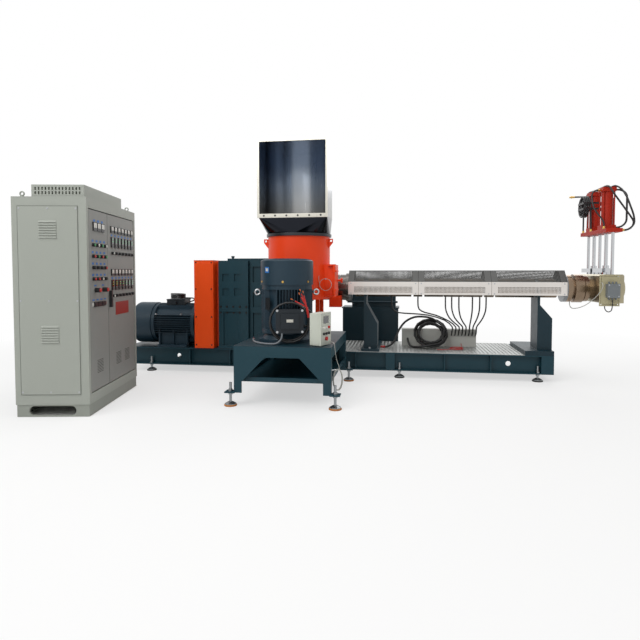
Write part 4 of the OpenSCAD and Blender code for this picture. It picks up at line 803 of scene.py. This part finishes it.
screws("cowl_screws", rows, 8, 5, MOTOR_PLACE, "brass")
rows = seats(MACHINE, product((2830, 2965, 4725, 4855), (60, 400), (700,)), DOWN)
screws("post_bolts", [row for row in rows if row[0][2] < FOOT_TOP], 13, 11)

# %% [markdown]
# ## Instruments
# Each meter, button and controller on the doors is a dark body in the CAD model. Faces,
# caps and lamps are laid on these bodies, all of one colour on one door in one mesh. The
# small blue tags above them are left blank.


# %% Faces, caps and tags on the doors
BEFORE_DOORS, NEEDLE_R = 900, 0.7


def on_face(v, z):
    """How far out the door's front lies at a place on it."""
    return spot(CABINET, (BEFORE_DOORS, v, z), LEFT).x


class Panel:
    """Flat things laid on one door, gathered by colour."""

    def __init__(self, name, body):
        self.name, self.body, self.shapes = name, body, {}

    def shape(self, colour):
        return self.shapes.setdefault(colour, Shape())

    def tile(self, colour, v, z, wide, high, out=1.2, base=None):
        u = on_face(v, z) if base is None else base
        self.shape(colour).box((u - 0.5, v - wide / 2, z - high / 2), (u + out, v + wide / 2, z + high / 2))
        return u + out

    def cap(self, colour, v, z, radius, out=5.0):
        u = on_face(v, z)
        self.shape(colour).bar((u - 0.5, v, z), (u + out, v, z), radius, 20, radius * 0.9)

    def meter(self, v, z, size):
        """A pale scale with a dark lower strip and a needle."""
        u = self.tile("white_plastic", v, z + size * 0.06, size * 0.82, size * 0.70)
        self.tile("black_plastic", v, z - size * 0.22, size * 0.82, size * 0.14, 0.6, u)
        needle = self.shape("black_plastic")
        needle.bar((u + 0.4, v, z - size * 0.15), (u + 0.4, v - size * 0.2, z + size * 0.26), NEEDLE_R, 6)

    def make(self):
        for colour, shape in self.shapes.items():
            shape.make(f"{self.name}_{colour}", colour, CABINET, self.body)
        print(self.name, sorted(self.shapes))


narrow, wide = Panel("narrow", "narrow_door"), Panel("wide", "wide_door")
NARROW_V, NARROW_STEP = 120, 83.33
for v in (161.7, 245, 328.3):
    narrow.meter(v, 1572, 72)
    narrow.tile("blue_tag", v, 1622, 40, 18)
BUTTONS = [
    (1417, "green_plastic white_plastic green_plastic white_plastic"),
    (1322, "red_plastic green_plastic red_plastic green_plastic"),
    (1227, "black_plastic black_plastic black_plastic red_plastic"),
    (1132, "red_plastic red_plastic white_plastic black_plastic"),
]
for z, colours in BUTTONS:
    for column, colour in enumerate(colours.split()):
        narrow.cap(colour, NARROW_V + column * NARROW_STEP, z, 11.5)
        narrow.tile("blue_tag", NARROW_V + column * NARROW_STEP, z + 34, 36, 18)
for v in (161.7, 328.3):
    narrow.cap("red_plastic", v, 1037, 17, 9)
    narrow.tile("blue_tag", v, 1076, 44, 12)
for column in range(4):
    v = NARROW_V + column * NARROW_STEP
    narrow.tile("white_plastic" if column == 0 else "dark_glass", v, 917, 56, 28)
    narrow.tile("blue_tag", v, 955, 44, 12)
WIDE_V, WIDE_STEP = 553, 87.83
for column in range(7):
    v = WIDE_V + column * WIDE_STEP
    for meter_z, control_z, knob_z in ((1577, 1462, 1362), (1187, 1072, 972)):
        wide.meter(v, meter_z, 60)
        wide.tile("blue_tag", v, control_z + 63, 38, 16)
        u = wide.tile("dark_glass", v, control_z + 14, 38, 56)
        for row in (0, 1):
            wide.tile("green_lamp", v, control_z + 26 - row * 20, 22, 7, 0.4, u)
        wide.tile("black_plastic", v, control_z - 33, 38, 14)
        wide.cap("white_plastic" if column == 0 else "black_plastic", v, knob_z, 10.5)
wide.tile("dull_red", 800, 850, 350, 120, 2)
# Rows of near-black strips stand for the louvre slots: painted shade inside them.
for door, middles in ((narrow, (245,)), (wide, (690, 920))):
    for v in middles:
        for row in range(9):
            door.tile("dark_gap", v, 330 + row * 13, 130, 4, 0.3)
narrow.make()
wide.make()

# %% [markdown]
# ## Control box and plates
# The small box on the stand has a display, two rows of switches and a stop button on the
# side that faces the tank door. The blank label is on the motor's terminal box.

# %% Control box and plates
CONTROL = turned(2658, -1350, 540, -18) @ Matrix.Translation((-110, -100, 0))
LID = 110
display = Shape().box((LID - 1, 50, 200), (LID + 3, 150, 262))
display.make("control_display", "dark_glass", CONTROL, edge=0.001)
for colour, knobs in (("white_plastic", [(50, 160), (100, 160)]), ("red_plastic", [(150, 160), (100, 62)]),
        ("black_plastic", [(50, 108), (100, 108), (150, 108)])):
    caps = Shape()
    for y, z in knobs:
        caps.bar((LID - 1, y, z), (LID + 14, y, z), 18 if z < 100 else 12, 20)
    caps.make(f"control_{colour}", colour, CONTROL, edge=0.001)
PANEL_Y = -365
label = Shape().box((-30, PANEL_Y - 1, 742), (30, PANEL_Y + 0.5, 768))
label.make("terminal_label", "pale_label", MOTOR_PLACE)

# %% [markdown]
# The motor's eye bolts are bright, and it has a dark name plate and a blue tag, both blank.
# A thin seam runs round each side panel of the cabinet.

# %% Eye rings, tags and seams
FIN_R, COWL_R, EYE_Z, EYE_OUT, EYE_RING_R, EYE_BAR_R = 243, 250, 1000, 279, 24, 8.6
eyes = Shape()
for side in (-1, 1):
    eyes.ring((side * EYE_OUT, 0, EYE_Z), EYE_RING_R, EYE_BAR_R)
eyes.make("eye_rings", "screw_zinc", MOTOR_PLACE)
TAG_PLACE = MOTOR_PLACE @ Matrix.Rotation(math.radians(-141), 4, "Z")
tag = Shape().box((COWL_R - 1.4, -27, 1182), (COWL_R + 1.5, 27, 1236))
tag.make("cowl_tag", "blue_tag", TAG_PLACE)
tag = Shape().box((COWL_R + 1, -16, 1196), (COWL_R + 1.9, 16, 1224))
tag.make("cowl_tag_middle", "pale_label", TAG_PLACE)
name_plate = Shape().box((FIN_R - 2, -30, 842), (FIN_R + 2, 30, 952))
name_plate.make("motor_name_plate", "dark_plate", TAG_PLACE, edge=0.0005)
PANEL_U, PANEL_Z, SEAM, SIDE_FACES = (48, 532), (184, 1725), 3, (-5, 1205)
seams = Shape()
for v in SIDE_FACES:
    for u in (PANEL_U[0], PANEL_U[1] - SEAM):
        seams.box((u, v - 0.4, PANEL_Z[0]), (u + SEAM, v + 0.4, PANEL_Z[1]))
    for z in (PANEL_Z[0], PANEL_Z[1] - SEAM):
        seams.box((PANEL_U[0] + SEAM, v - 0.4, z), (PANEL_U[1] - SEAM, v + 0.4, z + SEAM))
seams.make("side_panel_seams", "seam_grey", CABINET, edge=None)
print("eye rings, tags and seams")

# %% [markdown]
# ## Stand tray
# The stand gets a sheet across its back and a tray between its legs. Both are put there so
# that its opening looks dark inside, as painted shade, and are sheet in the stand's teal paint.

# %% Stand tray
TRAY_X, TRAY_Y, TRAY_Z, SHEET = (1862, 2708), (-1410, -203), 214, 3
# The tray and back sheet stand in for the shade inside the stand: painted shade.
tray = Shape().box((TRAY_X[0], TRAY_Y[0], TRAY_Z), (TRAY_X[1], TRAY_Y[1], TRAY_Z + SHEET))
for x in (TRAY_X[0], TRAY_X[1] - SHEET):
    tray.box((x, TRAY_Y[0], TRAY_Z + SHEET), (x + SHEET, TRAY_Y[1], TRAY_Z + 40))
tray.box((TRAY_X[0] + SHEET, TRAY_Y[1], TRAY_Z), (TRAY_X[1] - SHEET, TRAY_Y[1] + SHEET, 534))
tray.make("stand_shade_sheets", "teal_paint")
print("stand tray and back sheet")

# %% [markdown]
# ## Hoses over the cylinders
# A hose rises from the plate to the near cylinder's cap. Two longer ones rise from the
# plate's far end, lie over both cylinders, and bend round to the plate's near end. All end
# in brass.

# %% Fittings and hoses
PLATE_TOP, FITTING_H, FITTING_R, PORT_FITTING_R, FEED_R, LONG_R = 1640, 26, 12, 13.5, 8, 9
CAP_X, CAP_PORT_Z, FITTING_X, PLATE_X, PLATE_PORT_Z, NEAR_Y, CAP_Y = 5397, 2056, 5400, 5545, 1622, -52, 55
RISE = [(5400, 0.0, 1666), (5398, 0.0, 1702), (5380, 0.05, 1746), (5345, 0.2, 1800), (5315, 0.4, 1865),
    (5305, 0.6, 1930), (5305, 0.8, 1990), (5314, 0.9, 2023), (5338, 0.97, 2047), (5371, 1.0, CAP_PORT_Z)]
LONG_HOSES = {
    "long_hose_1": [(5440, 560, 1666), (5440, 560, 1760), (5446, 561, 1880), (5462, 558, 1990),
        (5478, 535, 2054), (5490, 473, 2091), (5500, 405, 2091), (5505, 230, 2087), (5511, 55, 2091),
        (5522, -13, 2089), (5546, -94, 2044), (5578, -144, 1960), (5612, -164, 1850), (5640, -164, 1770),
        (5653, -154, 1700), (5643, -140, 1661), (5615, -126, 1633), (5590, -121, PLATE_PORT_Z + 1),
        (5571, -120, PLATE_PORT_Z)],
    "long_hose_2": [(5405, 590, 1666), (5405, 590, 1760), (5406, 592, 1880), (5412, 585, 1985),
        (5420, 545, 2062), (5427, 473, 2092), (5430, 405, 2091), (5430, 230, 2087), (5432, 55, 2091),
        (5438, -13, 2090), (5448, -66, 2068), (5470, -92, 2010), (5530, -100, 1918), (5598, -102, 1819),
        (5655, -100, 1735), (5670, -92, 1692), (5650, -78, 1643), (5605, -67, PLATE_PORT_Z + 1),
        (5571, -65, PLATE_PORT_Z)],
}
fittings = Shape()
fittings.bar((FITTING_X, NEAR_Y, PLATE_TOP), (FITTING_X, NEAR_Y, PLATE_TOP + FITTING_H), FITTING_R, 6)
fittings.bar((CAP_X - FITTING_H, CAP_Y, CAP_PORT_Z), (CAP_X + 1, CAP_Y, CAP_PORT_Z), FITTING_R, 6)
line = smooth([(x, NEAR_Y + (CAP_Y - NEAR_Y) * share, z) for x, share, z in RISE], 3)
cable("near_feed", line, FEED_R)
for name, route in LONG_HOSES.items():
    x, y, z = route[0]
    fittings.bar((x, y, PLATE_TOP), (x, y, z), FITTING_R, 6)
    x, y, z = route[-1]
    fittings.bar((x, y, z), (PLATE_X - 1, y, z), FITTING_R, 6)
    cable(name, smooth(route, 2), LONG_R)
for y in PISTON_YS:
    for z in (PORT_Z, PORT_Z + PORT_RISE):
        fittings.bar((PORT_X - 14, y, z), (PORT_X + 6, y, z), PORT_FITTING_R, 6)
fittings.make("hose_fittings", "brass", edge=0.0008)

# %% [markdown]
# A spare hose is wound up beside the far cylinder and held to it by two straps. Its free end
# has a brass fitting.

# %% Spare hose and straps
SPARE_MIDDLE, SPARE_RING, SPARE_TURNS, SPARE_STEP = (5387, 430, 1925), 115, 3.25, 19
SPARE_START = [(5400, 330, 1666), (5399, 328, 1722), (5394, 321, 1800), (5389, 316, 1870)]
SPARE_END = [(5320, 458, 2042), (5304, 481, 2045), (5281, 497, 2047), (5266, 501, 2047)]
# Each stage of the nozzle has its two ends along the hose, its radius and its sides.
NOZZLE = [(-10, 16, 11, 12), (16, 30, 14, 6), (30, 46, 9, 12)]
spare = winding(SPARE_MIDDLE, (0, -1, 0), (0, 0, 1), SPARE_RING, SPARE_TURNS, 16, (-SPARE_STEP, 0, 0))
line = wound(SPARE_START, spare, SPARE_END)
tip, ahead = end_of(line)
nozzle = Shape()
for low, high, radius, sides in NOZZLE:
    nozzle.bar(tip + ahead * low, tip + ahead * high, radius, sides)
nozzle = nozzle.make("spare_hose_fitting", "brass", edge=0.0006)
port = Shape().bar((*SPARE_START[0][:2], PLATE_TOP), SPARE_START[0], FITTING_R, 6)
port.make("spare_hose_port", "brass", edge=0.0008)
cable("spare_hose", line, LONG_R)
STRAP_X, STRAP_Y, STRAP_T, STRAP_H = (5311, 5552), (303, 480), 2, 22
straps = Shape()
for z in (1880, 1942):
    for x in (STRAP_X[0] - STRAP_T, STRAP_X[1]):
        straps.box((x, STRAP_Y[0] - STRAP_T, z), (x + STRAP_T, STRAP_Y[1] + STRAP_T, z + STRAP_H))
    for y in (STRAP_Y[0] - STRAP_T, STRAP_Y[1]):
        straps.box((STRAP_X[0], y, z), (STRAP_X[1], y + STRAP_T, z + STRAP_H))
straps.make("hose_straps", "black_plastic", edge=0.0005)

# %% [markdown]
# A pale sleeved wire comes from under the flange to the heater plate. A short cable links the
# junction box to the block behind that plate. Rays find their ends.

# %% Heater wire and junction box cable
SLEEVE_R, JUNCTION_R = 4, 5
start = spot(MACHINE, (5150, 190, 600), UP)
end = spot(MACHINE, (5343, -600, 1078), AHEAD)
bend = [start, start - Vector((0, 2, 30)), (5154, 170, start.z - 57), (5164, 130, start.z - 70),
    (5190, 40, 805), (5235, -70, 845), (5285, -165, 920), (5320, -220, 985), (5335, end.y - 54, 1030),
    (5341, end.y - 47, 1060), (5343, end.y - 24, 1077), end]
cable("heater_wire", smooth(bend, 3), SLEEVE_R, "pale_wire")
start = spot(MACHINE, (5439, -219, 600), UP)
end = spot(MACHINE, (5402, -110, 600), UP)
bend = [start, start - Vector((0, 0, 55)), (5436, -204, 800), (5421, -165, 780), (5406, -126, 800),
    end - Vector((0, 0, 25)), end]
cable("junction_cable", smooth(bend, 4), JUNCTION_R)

# %% [markdown]
# Thin red wire lies in a small coil on the deck beside the black one.

# %% Red wire on the deck
WIRE_Z, WIRE_RING, WIRE_TURNS, WIRE_PITCH, WIRE_R = 295, 75, 2.25, 7, 3
WIRE_START = [(4035, 549.5, 330), (4035, 512, 308), (4035, 430, WIRE_Z)]
WIRE_END = [(3880, 250, 303), (3800, 240, WIRE_Z), (3730, 250, WIRE_Z)]
loops = winding((3960, 330, WIRE_Z), (1, 0, 0), (0, -1, 0), WIRE_RING, WIRE_TURNS, 16, (0, 0, WIRE_PITCH))
cable("red_wire", wound(WIRE_START, loops, WIRE_END), WIRE_R, "red_plastic")

# %% [markdown]
# Pale wire hangs in two small coils: one from a probe in the tank's wall, on a peg beside the
# door, and one from the control box, on a hook at the stand's leg. A turn lies a wire's width
# beside the last.

# %% Hanging wires
PROBE_R, CONTROL_R, PEG_R, PEG_IN, PEG_OUT, PITCH_IN_RADII = 2, 3, 5, 20, 24, 2.2


def hanging(name, lead, middle, way, out, ring_radius, turns, radius, tall=1.0, wall=None):
    """A lead, then an upright coil of wire, round or tall, on a peg or on a hook from a wall."""
    middle, out = Vector(middle), Vector(out)
    loops = winding(middle, way, (0, 0, -tall), ring_radius, turns, 14, out * (PITCH_IN_RADII * radius))
    cable(name, wound(lead, loops), radius, "pale_wire")
    peg = middle + Vector((0, 0, tall * ring_radius - radius - PEG_R))
    base = peg - out * PEG_IN
    hook = Shape().bar(base, peg + out * PEG_OUT, PEG_R, 12)
    if wall:
        hook.bar((*wall, base.z), base + out * 3, PEG_R, 12)
    hook.make(f"{name}_peg", "screw_zinc")


probe = spot(MACHINE, (2480, -900, 1150), AHEAD)
lead = [probe + Vector(step) for step in ((0, 0, 0), (0, -8, 0), (0, -20, -5), (0, -25, -18))]
lead += [(2481, -606, 1105), (2484, -596, 1080)]
hanging("probe_wire", lead, (2548, -590, 1062), (-1, 0, 0), (0, -1, 0), 62, 3.4, PROBE_R)
outlet = spot(MACHINE, (2800, -1300, 566), LEFT)
lead = [outlet, outlet + Vector((26, 0, 0)), (2728, -1318, 552), (2736, -1335, 505), (2752, -1352, 420),
    (2782, -1363, 335), (2799, -1369, 285)]
hanging("control_wire", lead, (2764, -1392, 248), (0.866, 0.5, 0), (0.5, -0.866, 0), 44, 3.6, CONTROL_R,
    2.1, (2712, -1426))

# %% [markdown]
# The main motor's cable leaves its terminal box, turns round beside it, and lies in a neat
# coil on the lid.

# %% Cable of the main motor
LID_Z, LID_MIDDLE, LID_RING, LID_CORD_R, LID_TURNS = 858, (589, 237), 85, 8, 3.3
GLAND, LID_BEND, LID_PITCH = (708, 162, 823), 80, 16.5
rest_z = LID_Z + LID_CORD_R + 0.5
rise = (rest_z - GLAND[2]) / (2 * LID_BEND)
line = [GLAND]
for x, y in arc((GLAND[0] + 4, GLAND[1] + LID_BEND), LID_BEND, -90, 90, 12):
    line.append((x, y, GLAND[2] + rise * (y - GLAND[1])))
line.append((650, LID_MIDDLE[1] + LID_RING, rest_z))
line += winding((*LID_MIDDLE, rest_z), (0, 1, 0), (-1, 0, 0), LID_RING, LID_TURNS, 14, (0, 0, LID_PITCH))
cable("main_motor_cable", line, LID_CORD_R)

# %% [markdown]
# ## Spare cable
# Spare cable lies in a coil against the duct. It is one length: it leaves the duct, runs
# along the deck, goes round five and a half times, and its taped end falls back to the
# deck. The turns sit on a small circle round the ring's line, a sixth of it apart, so that
# they lie close and none cuts another.

# %% Coil of spare cable
COIL_MIDDLE, COIL_RING, COIL_LEAN = Vector((3670, 454, 461.9)), 165, math.radians(50)
COIL_TURNS, TURN_POINTS, BUNDLE_R, STRAND_R, TAPE = 5.43, 14, 30, 12.5, 0.8
LEAN_UP = Vector((0, math.cos(COIL_LEAN), math.sin(COIL_LEAN)))
LEAN_OUT = Vector((0, -math.sin(COIL_LEAN), math.cos(COIL_LEAN)))
COIL_START = [(3400, 549.5, 380), (3402, 505, 362), (3425, 425, 312), (3490, 352, 304), (3580, 318, 318)]
COIL_END = [(3690, 524, 630), (3600, 515, 650), (3480, 480, 648), (3370, 440, 595), (3296, 405, 500),
    (3262, 385, 415), (3225, 368, 345), (3160, 350, 306), (3080, 338, 303)]


def coil_place(turn):
    """A place on the coil after some turns, counted from its lowest point."""
    angle = math.tau * turn - math.pi / 2
    outward = Vector((math.cos(angle), 0, 0)) + LEAN_UP * math.sin(angle)
    side = math.pi / 2 + math.tau / 6 * (COIL_TURNS - turn)
    offset = outward * math.cos(side) + LEAN_OUT * math.sin(side)
    return COIL_MIDDLE + outward * COIL_RING + offset * BUNDLE_R


coil = [coil_place(k / TURN_POINTS) for k in range(int(COIL_TURNS * TURN_POINTS) + 1)]
line = wound(COIL_START, coil, COIL_END)
tape = Shape().bar(line[-3], line[-1], STRAND_R + TAPE, 14).make("cable_tape", "red_plastic")
cable("deck_cable", line, STRAND_R, instead_of=["deck_coil", "deck_cable_arch"])

# %% [markdown]
# The compactor motor's cable leaves the gland of its terminal box, bends up, and hangs in two
# turns over the box's corners, from one height, the second a little larger. A straight stretch
# that touches both circles joins the bend to the ring. The stripped end stands up beside the
# box, with red sleeves and copper lugs.

# %% Cable of the compactor motor
RING_MIDDLE_Z, RING_R, RING_Y, RING_CORD_R = 747.7, 168.4, -284, 9.5
RING_TURNS, RING_POINTS, RING_GROWS, RING_PITCH = 1.89, 18, 7, 21
RING_GLAND, RING_BEND = (140.5, -279, 698), 76
CORE_SLEEVE_R, CORE_R, LUG_R, LUG_TIP_R = 5.5, 4.6, 4.2, 7
# Each core has its angle, its length and its lean.
FORK_OUT, CORES = 75, [(112, 134, -0.10), (119, 106, 0.08), (105, 114, -0.22), (152, 122, -0.05)]
bend_middle = Vector((RING_GLAND[0] + 3, RING_GLAND[2] + RING_BEND))
reach = bend_middle - Vector((0, RING_MIDDLE_Z))
join = math.atan2(reach.y, reach.x) + math.acos((RING_R - RING_BEND) / reach.length)
line = [Vector(RING_GLAND)]
line += [Vector((x, RING_GLAND[1], z)) for x, z in arc(bend_middle, RING_BEND, -90, math.degrees(join), 12)]
ring = winding((0, RING_Y, RING_MIDDLE_Z), (math.cos(join), 0, math.sin(join)),
    (-math.sin(join), 0, math.cos(join)), RING_R, RING_TURNS, RING_POINTS,
    (0, -RING_PITCH, -RING_GROWS), RING_GROWS)
line += [(line[-1] + ring[0]) / 2] + ring
tip, ahead = end_of(line)
fork = tip + ahead * FORK_OUT
sleeves = Shape().bar(tip - ahead * 20, fork, RING_CORD_R + 1.5, 14)
wires, lugs = Shape(), Shape()
for angle, length, lean in CORES:
    way = Vector((math.cos(math.radians(angle)), lean, math.sin(math.radians(angle)))).normalized()
    sleeves.bar(fork - way * 6, fork + way * length, CORE_SLEEVE_R, 10)
    wires.bar(fork + way * (length - 2), fork + way * (length + 24), CORE_R, 10)
    lugs.bar(fork + way * (length + 22), fork + way * (length + 44), LUG_R, 10, LUG_TIP_R)
ends = [sleeves.make("cable_sleeves", "red_plastic", MOTOR_PLACE),
    wires.make("cable_cores", "cord_rubber", MOTOR_PLACE), lugs.make("cable_lugs", "copper", MOTOR_PLACE)]
cable("motor_cable", line, RING_CORD_R, place=MOTOR_PLACE, instead_of=["motor_cable_ring"])

# %% [markdown]
# A grey conduit drops from the terminal box to the deck and lies there, round the motor's left
# side. Its end is taped red.

# %% Conduit on the stand
DECK_Z, CONDUIT_R, CONDUIT_BEND, CONDUIT_X, CONDUIT_Y, CLEAR = 540, 9, 75, -70, -346, 0.3
LIES = [(-208, -326), (-264, -268), (-300, -190), (-318, -100), (-322, -10), (-318, 50)]
rest_z = DECK_Z + CONDUIT_R + CLEAR
start = spot(MOTOR_PLACE, (CONDUIT_X, CONDUIT_Y, rest_z), UP)
turn = arc((CONDUIT_X - CONDUIT_BEND, rest_z + CONDUIT_BEND), CONDUIT_BEND, 0, -90, 7)
drop = [(x, CONDUIT_Y, z) for x, z in turn]
line = [start] + drop[:-1] + smooth(drop[-1:] + [(x, y, rest_z) for x, y in LIES], 3)
tip, ahead = end_of(line)
tape = Shape().bar(tip - ahead * 14, tip + ahead * 12, CONDUIT_R + CLEAR, 14)
tape = tape.make("conduit_tape", "red_plastic", MOTOR_PLACE)
cable("motor_conduit", line, CONDUIT_R, "conduit_grey", MOTOR_PLACE)

# %% [markdown]
# ## Light and floor
# Soft, even light at a plain level lets each colour come out about as it was written.
# The world looks white to the camera and in reflections, and lights a little less.


# %% Light and floor
def seen_rays(wire):
    """One for rays that show a thing, straight, mirrored or through something clear, else zero."""
    rays = wire.node("ShaderNodeLightPath").output.node.outputs
    kinds = ("Camera", "Glossy", "Transmission")
    seen, mirrored, through = [Wire(wire.tree, rays[f"Is {kind} Ray"]) for kind in kinds]
    return wire.math("MAXIMUM", wire.math("MAXIMUM", seen, mirrored), through)


SKY_LIGHT, FLOOR_HALF, FLOOR_DROP, FLOOR_NEAR, FLOOR_FAR, FLOOR_LIGHT = 0.42, 60, 0.0005, 2.5, 7.0, 0.55
world = bpy.data.worlds.new("studio")
scene.world = world
world.use_nodes = True
sky = Wire(world.node_tree)
backdrop = world.node_tree.nodes["Background"]
feed(backdrop, "Strength", SKY_LIGHT + seen_rays(sky) * (1 - SKY_LIGHT))
backdrop.inputs["Color"].default_value = (1, 1, 1, 1)


def lamp(name, place, aim, size, watts):
    made = bpy.data.objects.new(name, bpy.data.lights.new(name, "AREA"))
    made.data.shape = "RECTANGLE"
    made.data.size, made.data.size_y = size
    made.data.energy = watts
    made.location = place
    made.rotation_euler = (Vector(aim) - Vector(place)).to_track_quat("-Z", "Y").to_euler()
    scene.collection.objects.link(made)
    print(name, watts, "W")


lamp("key_lamp", (-3.5, -6.0, 6.0), (0, 0, 0.8), (6, 4), 300)
lamp("top_lamp", (0.5, -0.5, 7.0), (0, 0, 0), (8, 5), 190)
lamp("rear_lamp", (2.5, 6.0, 5.0), (0, 0, 0.8), (6, 4), 170)
floor_mesh = bpy.data.meshes.new("floor")
corners = [(x * FLOOR_HALF, y * FLOOR_HALF, -FLOOR_DROP) for x, y in ((-1, -1), (1, -1), (1, 1), (-1, 1))]
floor_mesh.from_pydata(corners, [], [(0, 1, 2, 3)])
ground = bpy.data.objects.new("floor", floor_mesh)
scene.collection.objects.link(ground)
floor_look, shader, wire = finish("floor", (236, 236, 235), 0.9)
place = wire.node("ShaderNodeTexCoord", out=3)
distance = wire.node("ShaderNodeVectorMath", {"operation": "LENGTH"}, {0: place}, out="Value")
far = wire.node("ShaderNodeMapRange", {}, {"Value": distance, "From Min": FLOOR_NEAR, "From Max": FLOOR_FAR})
white = wire.node("ShaderNodeEmission", {}, {"Color": (1, 1, 1, 1), "Strength": 1.0})
middle = CABINET @ Vector((CABINET_DEPTH / 2, CABINET_DEPTH, 0))
under = wire.node("ShaderNodeMapping", {"vector_type": "TEXTURE"}, {"Vector": place, "Location": middle,
    "Rotation": (0, 0, math.radians(CABINET_TURN)), "Scale": (0.3, 0.6, 1)})
under = wire.node("ShaderNodeVectorMath", {"operation": "ABSOLUTE"}, {0: under})
sides = wire.node("ShaderNodeSeparateXYZ", {}, {0: under}).output.node.outputs
under = (Wire(wire.tree, sides[0]) < 1.0) * (Wire(wire.tree, sides[1]) < 1.0)
bright = seen_rays(wire) * (FLOOR_LIGHT + far * (1 - FLOOR_LIGHT)) * (1.0 - under)
mixed = wire.node("ShaderNodeMixShader", {}, {0: bright, 1: Wire(wire.tree, shader.outputs[0]), 2: white})
wire.tree.links.new(mixed.output, floor_look.node_tree.nodes["Material Output"].inputs["Surface"])
ground.data.materials.append(floor_look)
scene.view_settings.view_transform = "Standard"
